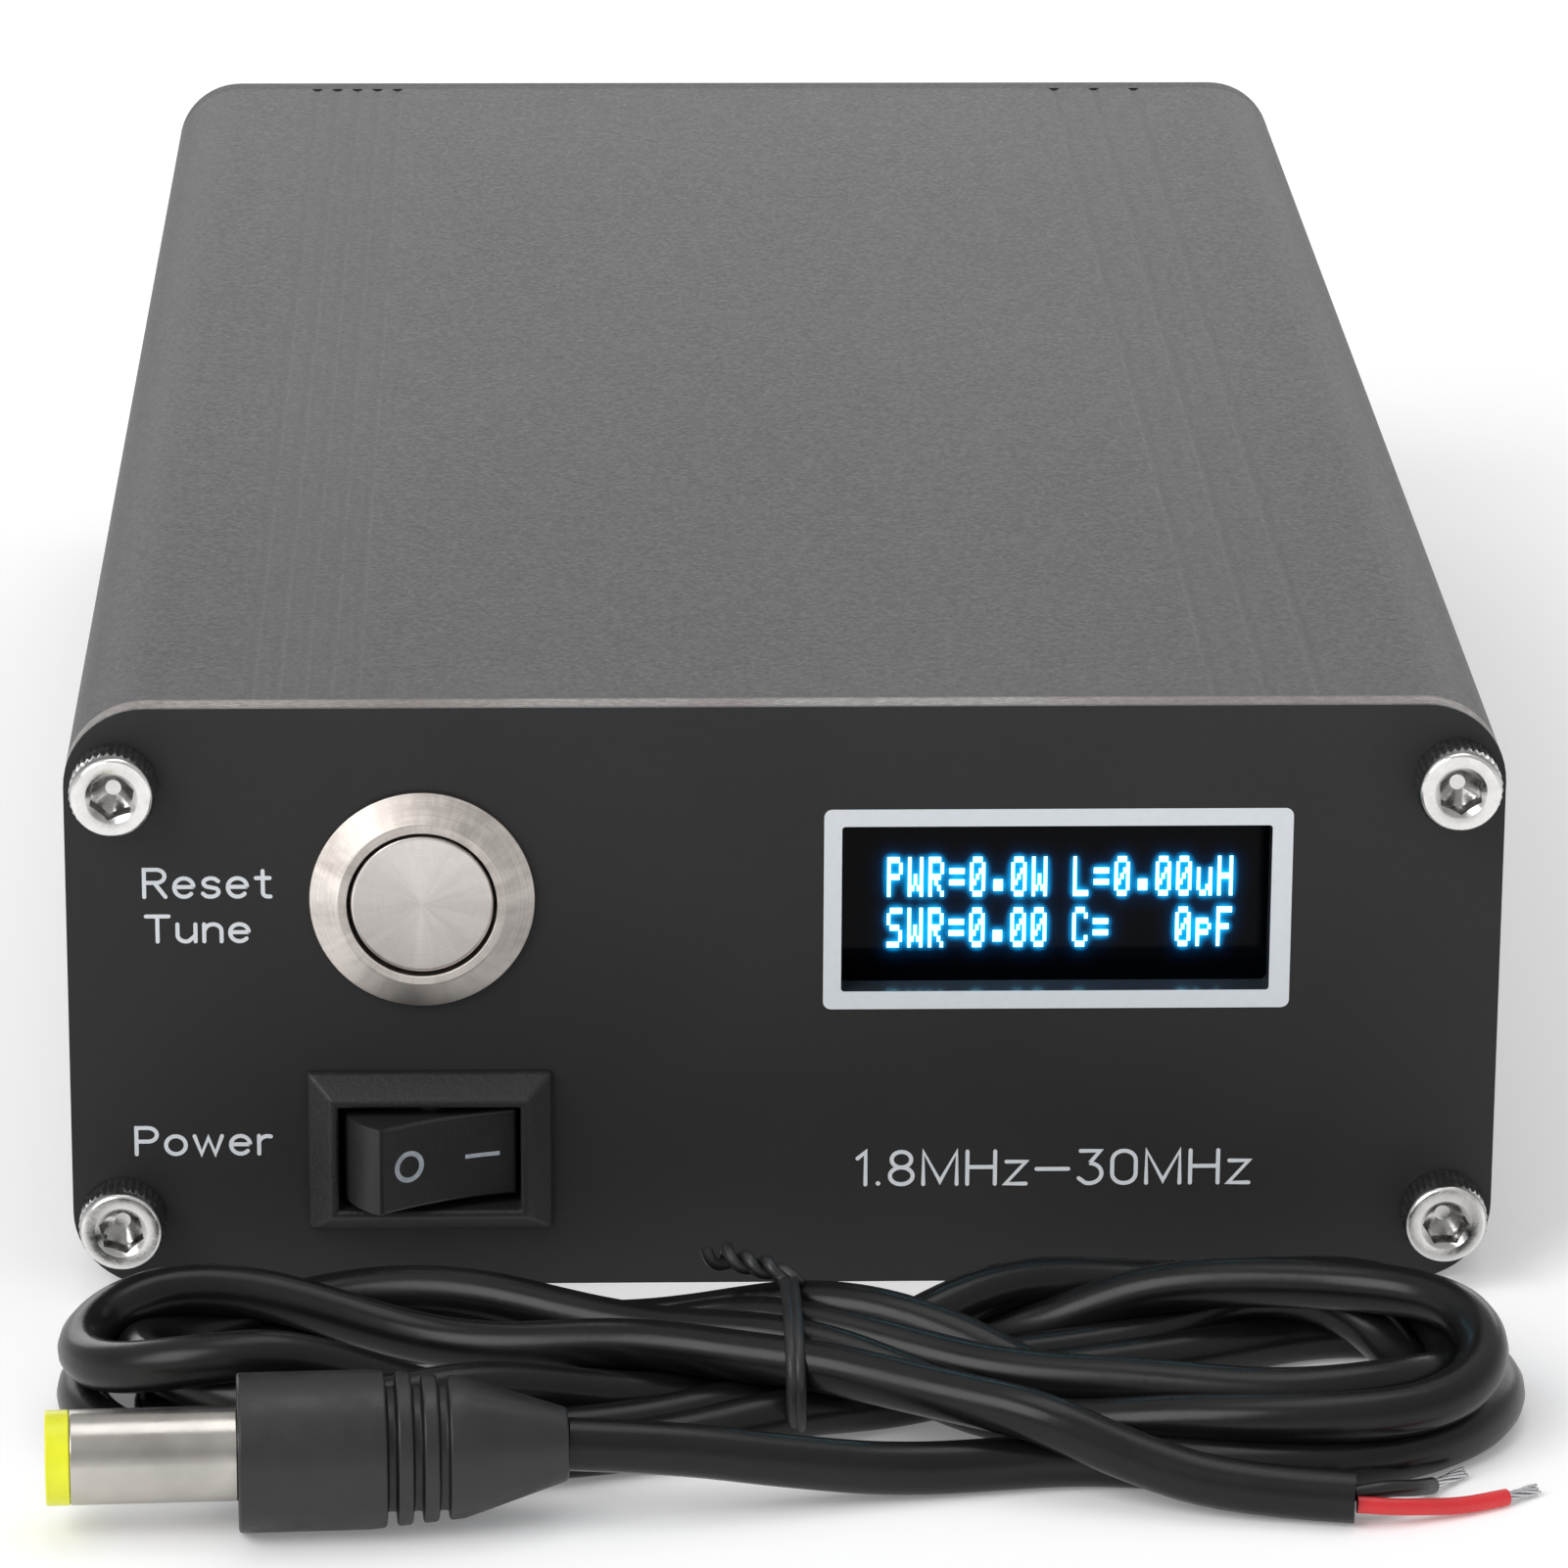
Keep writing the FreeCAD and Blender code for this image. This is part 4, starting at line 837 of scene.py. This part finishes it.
# A plain stroke font on a body 1 high (capitals): width of each letter, then its strokes.
LETTERS = {
    "R": (0.62, [[(0, 0), (0, 1), (0.36, 1), *arc(0.36, 0.76, 0.24, 0.24, 90, -90), (0, 0.52)],
                 [(0.30, 0.52), (0.62, 0)]]),
    "T": (0.68, [[(0, 1), (0.68, 1)], [(0.34, 1), (0.34, 0)]]),
    "P": (0.60, [[(0, 0), (0, 1), (0.34, 1), *arc(0.34, 0.74, 0.26, 0.26, 90, -90), (0, 0.48)]]),
    "M": (0.82, [[(0, 0), (0, 1), (0.41, 0.08), (0.82, 1), (0.82, 0)]]),
    "H": (0.68, [[(0, 0), (0, 1)], [(0.68, 0), (0.68, 1)], [(0, 0.52), (0.68, 0.52)]]),
    "e": (0.56, [[(0, 0.36), (0.56, 0.36), *arc(0.28, 0.36, 0.28, 0.32, 0, 180),
                  *arc(0.28, 0.34, 0.28, 0.34, 180, 318)]]),
    "s": (0.48, [[(0.46, 0.57), *arc(0.25, 0.51, 0.22, 0.17, 55, 235, 8),
                  *arc(0.23, 0.18, 0.24, 0.18, 45, -125, 8), (0.01, 0.12)]]),
    "t": (0.42, [[(0.20, 0.94), (0.20, 0.16), *arc(0.34, 0.16, 0.14, 0.16, 180, 270), (0.42, 0.0)],
                 [(0, 0.68), (0.40, 0.68)]]),
    "u": (0.54, [[(0, 0.68), (0, 0.26), *arc(0.25, 0.26, 0.25, 0.26, 180, 290), (0.54, 0.24)],
                 [(0.54, 0.68), (0.54, 0)]]),
    "n": (0.52, [[(0, 0.68), (0, 0)], [(0, 0.40), *arc(0.27, 0.42, 0.25, 0.26, 150, 0), (0.52, 0)]]),
    "o": (0.58, [[*arc(0.29, 0.34, 0.29, 0.34, 0, 360, 24)]]),
    "w": (0.80, [[(0, 0.68), (0.20, 0), (0.40, 0.62), (0.60, 0), (0.80, 0.68)]]),
    "r": (0.34, [[(0, 0.68), (0, 0)], [(0, 0.40), *arc(0.26, 0.40, 0.26, 0.27, 170, 70)]]),
    "z": (0.50, [[(0.02, 0.68), (0.50, 0.68), (0, 0), (0.50, 0)]]),
    "1": (0.22, [[(0, 0.80), (0.20, 1), (0.20, 0)]]),
    ".": (0.06, [[(0.02, 0.03), (0.04, 0.03)], [(0.03, 0.02), (0.03, 0.04)]]),
    "8": (0.56, [[*arc(0.28, 0.76, 0.24, 0.24, 270, 630, 24)], [*arc(0.28, 0.26, 0.28, 0.26, 90, 450, 24)]]),
    "3": (0.56, [[(0.04, 1), (0.52, 1), (0.26, 0.62), *arc(0.26, 0.31, 0.30, 0.31, 90, -110, 16),
                  (0, 0.16)]]),
    "0": (0.58, [[*arc(0.29, 0.70, 0.29, 0.30, 0, 180), *arc(0.29, 0.30, 0.29, 0.30, 180, 360),
                  (0.58, 0.70)]]),
    "-": (0.78, [[(0.0, 0.45), (0.78, 0.45)]]),
}


def stroke_edges(points, half):
    """The two edges of a stroke along points in one plane, mitred at its corners."""
    left, right = [], []
    for index, (x, z) in enumerate(points):
        before, after = points[max(index - 1, 0)], points[min(index + 1, len(points) - 1)]
        one = Vector((x - before[0], z - before[1])).normalized()
        other = Vector((after[0] - x, after[1] - z)).normalized()
        along = ((one if one.length else other) + (other if other.length else one)).normalized()
        reference = other if other.length else one
        mitre = min(1.9, 1 / max(0.3, abs(along.dot(reference)))) if along.length else 1.0
        normal = Vector((-along.y, along.x)) * half * mitre
        left.append((x + normal.x, z + normal.y))
        right.append((x - normal.x, z - normal.y))
    return left, right


def round_cap(centre, tip_from, half, steps=6):
    """Points half way round an end, from the side reached by turning back from the stroke's way."""
    way = math.atan2(centre[1] - tip_from[1], centre[0] - tip_from[0])
    return [(centre[0] + half * math.cos(way + math.pi / 2 - math.pi * k / steps),
             centre[1] + half * math.sin(way + math.pi / 2 - math.pi * k / steps)) for k in range(1, steps)]


def ink_stroke(vertices, faces, points, lift):
    """A round-ended stroke of raised ink. It climbs a little on its way, so that it can cross itself."""
    half = STROKE / 2
    left, right = stroke_edges(points, half)
    cap_end = round_cap(points[-1], points[-2], half)
    cap_start = round_cap(points[0], points[1], half)
    count = len(points)
    outline = left + cap_end + right[::-1] + cap_start
    base, size = len(vertices), len(outline)
    climb = [lift + CLIMB * index / (count - 1) for index in range(count)]
    heights = climb + climb[-1:] * len(cap_end) + climb[::-1] + climb[:1] * len(cap_start)
    vertices += [(x, FACE - height, z) for (x, z), height in zip(outline, heights)]
    vertices += [(x, FACE, z) for x, z in outline]
    right_at = count + len(cap_end) + count - 1
    for index in range(count - 1):
        faces.append((base + index, base + right_at - index, base + right_at - index - 1, base + index + 1))
    faces.append(tuple(base + index for index in range(count - 1, count + len(cap_end) + 1)))
    faces.append((base, *(base + index for index in range(size - 1, right_at - 1, -1))))
    for index in range(size):
        following = (index + 1) % size
        faces.append((base + index, base + following, base + size + following, base + size + index))


def label(name, text, left, right, low, capital):
    """Words as raised ink, fitted between a left and a right edge: millimetres, with the capitals' height."""
    total = sum(LETTERS[character][0] for character in text) + LETTER_GAP * (len(text) - 1)
    scale_x = ((right - left) * MM - STROKE) / total
    scale_z = capital * MM - STROKE
    vertices, faces = [], []
    at_x, at_z = left * MM + STROKE / 2, low * MM + STROKE / 2
    for character in text:
        wide, strokes = LETTERS[character]
        for index, points in enumerate(strokes):
            on_panel = [(at_x + x * scale_x, at_z + z * scale_z) for x, z in points]
            ink_stroke(vertices, faces, on_panel, INK + 0.005 * MM * index)
        at_x += (wide + LETTER_GAP) * scale_x
    return finished(name, mesh_of(name, vertices, faces), PRINT, crease=20)


label("reset_label", "Reset", -39.33, -31.38, 25.44, 2.01)
label("tune_label", "Tune", -39.26, -32.74, 22.55, 1.88)
label("power_label", "Power", -40.13, -31.61, 8.62, 1.98)
label("band_label", "1.8MHz-30MHz", 4.41, 28.97, 6.35, 2.40)


# ---- the display's picture ----

GLYPHS = {
    "P": "####. #...# #...# ####. #.... #.... #....",
    "W": "#...# #...# #...# #.#.# #.#.# ##.## #...#",
    "R": "####. #...# #...# ####. #.#.. #..#. #...#",
    "=": "..... ..... ##### ..... ##### ..... .....",
    "0": ".###. #...# #..## #.#.# ##..# #...# .###.",
    ".": "..... ..... ..... ..... .###. .###. .....",
    "L": "#.... #.... #.... #.... #.... #.... #####",
    "u": "..... ..... #...# #...# #...# #..## .##.#",
    "H": "#...# #...# #...# ##### #...# #...# #...#",
    "S": ".#### #.... #.... .###. ....# ....# ####.",
    "C": ".###. #...# #.... #.... #.... #...# .###.",
    "p": "..... ..... ####. #...# ####. #.... #....",
    "F": "##### #.... #.... ####. #.... #.... #....",
}
LINES = ("PWR=0.0W L=0.00uH", "SWR=0.00 C=   0pF")
COLUMNS, ROWS = 117, 32
LETTER_STEP, LINE_STEP = 7, 18
SCREEN_LEFT, SCREEN_RIGHT = 6.4 * MM, 27.75 * MM
SCREEN_LOW, SCREEN_HIGH = 20.65 * MM, 26.55 * MM
PITCH_X, PITCH_Z = (SCREEN_RIGHT - SCREEN_LEFT) / COLUMNS, (SCREEN_HIGH - SCREEN_LOW) / ROWS
SCREEN_PLANE = glass_low.y - 0.02 * MM
GLOW_MARGIN = 10


def lit_dots():
    """Which dots of the display are lit, the top row first. Letters are 5 by 7 dots, doubled in height."""
    dots = np.zeros((ROWS, COLUMNS), bool)
    for line, text in enumerate(LINES):
        for place_in_line, character in enumerate(text):
            for row, marks in enumerate(GLYPHS.get(character, "").split()):
                for column, mark in enumerate(marks):
                    if mark == "#":
                        top = line * LINE_STEP + row * 2
                        dots[top:top + 2, place_in_line * LETTER_STEP + column] = True
    return dots


def on_screen(row, column):
    """A dot's middle, across and up the panel."""
    return SCREEN_LEFT + (column + 0.5) * PITCH_X, SCREEN_HIGH - (row + 0.5) * PITCH_Z


def dots_mesh():
    """A small plate for each lit dot."""
    vertices, faces = [], []
    for row, column in zip(*np.nonzero(lit_dots())):
        x, z = on_screen(row, column)
        half_x, half_z = PITCH_X * 0.62, PITCH_Z * 0.56
        base = len(vertices)
        vertices += [(x - half_x, SCREEN_PLANE, z - half_z), (x + half_x, SCREEN_PLANE, z - half_z),
                     (x + half_x, SCREEN_PLANE, z + half_z), (x - half_x, SCREEN_PLANE, z + half_z)]
        faces.append((base, base + 1, base + 2, base + 3))
    return mesh_of("display_dots", vertices, faces)


def glow_mesh():
    """A sheet behind the dots, with their blurred light at its corners."""
    wide, tall = COLUMNS + 2 * GLOW_MARGIN, ROWS + 2 * GLOW_MARGIN
    sharp = np.zeros((tall, wide))
    sharp[GLOW_MARGIN:-GLOW_MARGIN, GLOW_MARGIN:-GLOW_MARGIN] = lit_dots()
    reach = np.arange(-12, 13)
    halo = np.zeros_like(sharp)
    for width, share in ((1.5, 0.8), (4.0, 0.35)):
        kernel = np.exp(-(reach / width) ** 2)
        kernel /= kernel.sum()
        soft = sharp
        for axis in (0, 1):
            soft = np.apply_along_axis(lambda line: np.convolve(line, kernel, mode="same"), axis, soft)
        halo += share * soft
    vertices = []
    for row in range(tall):
        for column in range(wide):
            x, z = on_screen(row - GLOW_MARGIN, column - GLOW_MARGIN)
            vertices.append((x, SCREEN_PLANE + 0.01 * MM, z))
    firsts = [row * wide + column for row in range(tall - 1) for column in range(wide - 1)]
    faces = [(first, first + wide, first + wide + 1, first + 1) for first in firsts]
    mesh = mesh_of("display_glow", vertices, faces)
    mesh.attributes.new("glow", "FLOAT", "POINT").data.foreach_set("value", halo.ravel().astype(np.float32))
    return mesh


def lit_finish():
    """The pale cyan of a lit dot, a little uneven."""
    material, shader = new_material("display_light", Roughness=0.4)
    shader.inputs["Base Color"].default_value = (0.1, 0.5, 0.6, 1)
    shader.inputs["Emission Color"].default_value = (0.42, 0.92, 1.0, 1)
    (noise(material, 0.0004, detail=1) * 0.8 + 1.9).into(shader.inputs["Emission Strength"])
    return material


def halo_finish():
    """Light that scatters in the display's glass: blue, and strongest next to the lit dots."""
    material, shader = new_material("display_halo", Roughness=0.1, Specular_IOR_Level=0.06)
    shader.inputs["Base Color"].default_value = (0.0015, 0.002, 0.003, 1)
    near = Value(material, add(material, "ShaderNodeAttribute", attribute_name="glow").outputs["Fac"])
    blues = [(0.0, (0, 0, 0)), (0.06, (0.0, 0.006, 0.02)), (0.25, (0.0, 0.11, 0.27)),
             (0.6, (0.0, 0.36, 0.72)), (1.0, (0.05, 0.6, 0.95))]
    near.ramp(blues).into(shader.inputs["Emission Color"])
    shader.inputs["Emission Strength"].default_value = 2.2
    return material


screen_middle = ((SCREEN_LEFT + SCREEN_RIGHT) / 2, glass_low.y - 0.1 * MM, (SCREEN_LOW + SCREEN_HIGH) / 2)
window_ledge = (screen_middle[0], FACE + 0.6 * MM, 19.2 * MM)
screen_light = area_light("display_light", screen_middle, (22 * MM, 3 * MM), 0.0009, window_ledge)
screen_light.data.color = (0.03, 0.42, 1.0)
screen_light.visible_camera = False
screen_light.visible_glossy = False
finished("display_dots", dots_mesh(), lit_finish())
finished("display_glow", glow_mesh(), halo_finish())


# ---- eased edges ----

def opened(node):
    """A CAD node's mesh again, to edit, with its coincident points joined."""
    work = bmesh.new()
    work.from_mesh(NODES[node].data)
    bmesh.ops.remove_doubles(work, verts=work.verts, dist=1e-6)
    return work


def closed(work, name):
    """The edited mesh, without what the CAD mesh carried."""
    work.verts.index_update()
    mesh = mesh_of(name, [vertex.co.copy() for vertex in work.verts],
                   [[vertex.index for vertex in face.verts] for face in work.faces])
    work.free()
    return mesh


def eased(name, node, width, body="tuner", segments=2):
    """A CAD node again with its sharp edges rounded, as moulds and polishing leave them."""
    work = opened(node)
    bmesh.ops.dissolve_limit(work, angle_limit=math.radians(1.5), verts=work.verts, edges=work.edges)
    piece = finished(name, closed(work, name), NODES[node].data.materials[0], body)
    modifier = piece.modifiers.new("eased edges", "BEVEL")
    modifier.width = width
    modifier.segments = segments
    modifier.limit_method = "ANGLE"
    modifier.angle_limit = math.radians(30)
    modifier.use_clamp_overlap = False
    modifier.harden_normals = True
    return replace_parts(piece, node)


eased("rocker_bezel", "rocker_housing", 0.22 * MM, segments=3)
eased("button_bezel", "button_housing", 0.06 * MM)
eased("button_face", "button_cap", 0.10 * MM, "button")
plug_grip = eased("lead_plug_grip", "lead_plug_body", 0.18 * MM)
plug_sleeve = eased("lead_plug_sleeve", "lead_plug_barrel", 0.10 * MM)
plug_nose = eased("lead_plug_nose", "lead_plug_tip", 0.12 * MM)


# ---- the button's spring ----

spring = finished("button_return_spring", NODES["button_spring"].data.copy(), MATERIALS["spring_steel"],
                  crease=40)
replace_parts(spring, "button_spring")
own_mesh(spring)


# ---- threads of the radio sockets ----

THREAD_RADIUS = 7.94 * MM
THREAD_PITCH = 25.4 * MM / 24
THREAD_DEPTH = 0.5 * MM


def threaded_socket(name, node):
    """A socket's shell with its 5/8-24 thread cut."""
    low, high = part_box(node)
    centre_x, centre_z = (low.x + high.x) / 2, (low.z + high.z) / 2
    thread_start, thread_end = high.y - 11.5 * MM, high.y - 0.6 * MM
    work = opened(node)
    cuts = 84
    for cut in range(cuts + 1):
        height = thread_start + (thread_end - thread_start) * cut / cuts
        bmesh.ops.bisect_plane(work, geom=[*work.verts, *work.edges, *work.faces], dist=1e-7,
                               plane_co=(0, height, 0), plane_no=(0, 1, 0))
    for vertex in work.verts:
        away = Vector((vertex.co.x - centre_x, 0, vertex.co.z - centre_z))
        if away.length > THREAD_RADIUS * 0.99 and thread_start <= vertex.co.y <= thread_end + 1e-7:
            turn = math.atan2(away.z, away.x) / (2 * math.pi)
            phase = (vertex.co.y / THREAD_PITCH - turn) % 1
            cut_here = min(1.0, 1.25 * (1 - abs(2 * phase - 1)))
            cut_here *= min(1.0, (vertex.co.y - thread_start) / (0.8 * MM))
            away *= (THREAD_RADIUS - THREAD_DEPTH * cut_here) / away.length
            vertex.co.x, vertex.co.z = centre_x + away.x, centre_z + away.z
    piece = finished(name, closed(work, name), MATERIALS["nickel"], crease=38)
    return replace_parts(piece, node)


threaded_socket("antenna_socket_thread", "antenna_socket_shell")
threaded_socket("radio_socket_thread", "radio_socket_shell")


# ---- marks on the rocker ----

HINGE = Vector((ROCKER[0], FACE + 0.15 * MM, ROCKER[1]))
THROWN = Matrix.Rotation(math.radians(24), 3, "Z")


def rocker_mark(name, outer, inner):
    """Ink that follows the paddle's hollow face, between two lines across and up from the paddle's middle."""
    surface = BVHTree.FromPolygons([vertex.co for vertex in NODES["rocker_paddle"].data.vertices],
                                   [polygon.vertices for polygon in NODES["rocker_paddle"].data.polygons])
    inward = THROWN @ Vector((0, 1, 0))
    count = len(outer)
    starts = [HINGE + THROWN @ Vector((x, -20, z)) * MM for x, z in outer + inner]
    on_face = [surface.ray_cast(start, inward)[0] for start in starts]
    vertices = [point - inward * 0.02 * MM for point in on_face] + on_face
    faces = []
    for k in range(count - 1):
        faces.append((k, count + k, count + k + 1, k + 1))
        faces.append((k, k + 1, 2 * count + k + 1, 2 * count + k))
        faces.append((count + k + 1, count + k, 3 * count + k, 3 * count + k + 1))
    return finished(name, mesh_of(name, vertices, faces), MARK, "rocker", crease=20)


rocker_mark("rocker_off_mark", arc(-2.5, 0, 1.02, 1.02, 0, 360, 48), arc(-2.5, 0, 0.70, 0.70, 0, 360, 48))
bar = [1.3 + 0.2 * step for step in range(12)]
rocker_mark("rocker_on_mark", [(x, 0.13) for x in bar], [(x, -0.13) for x in bar])
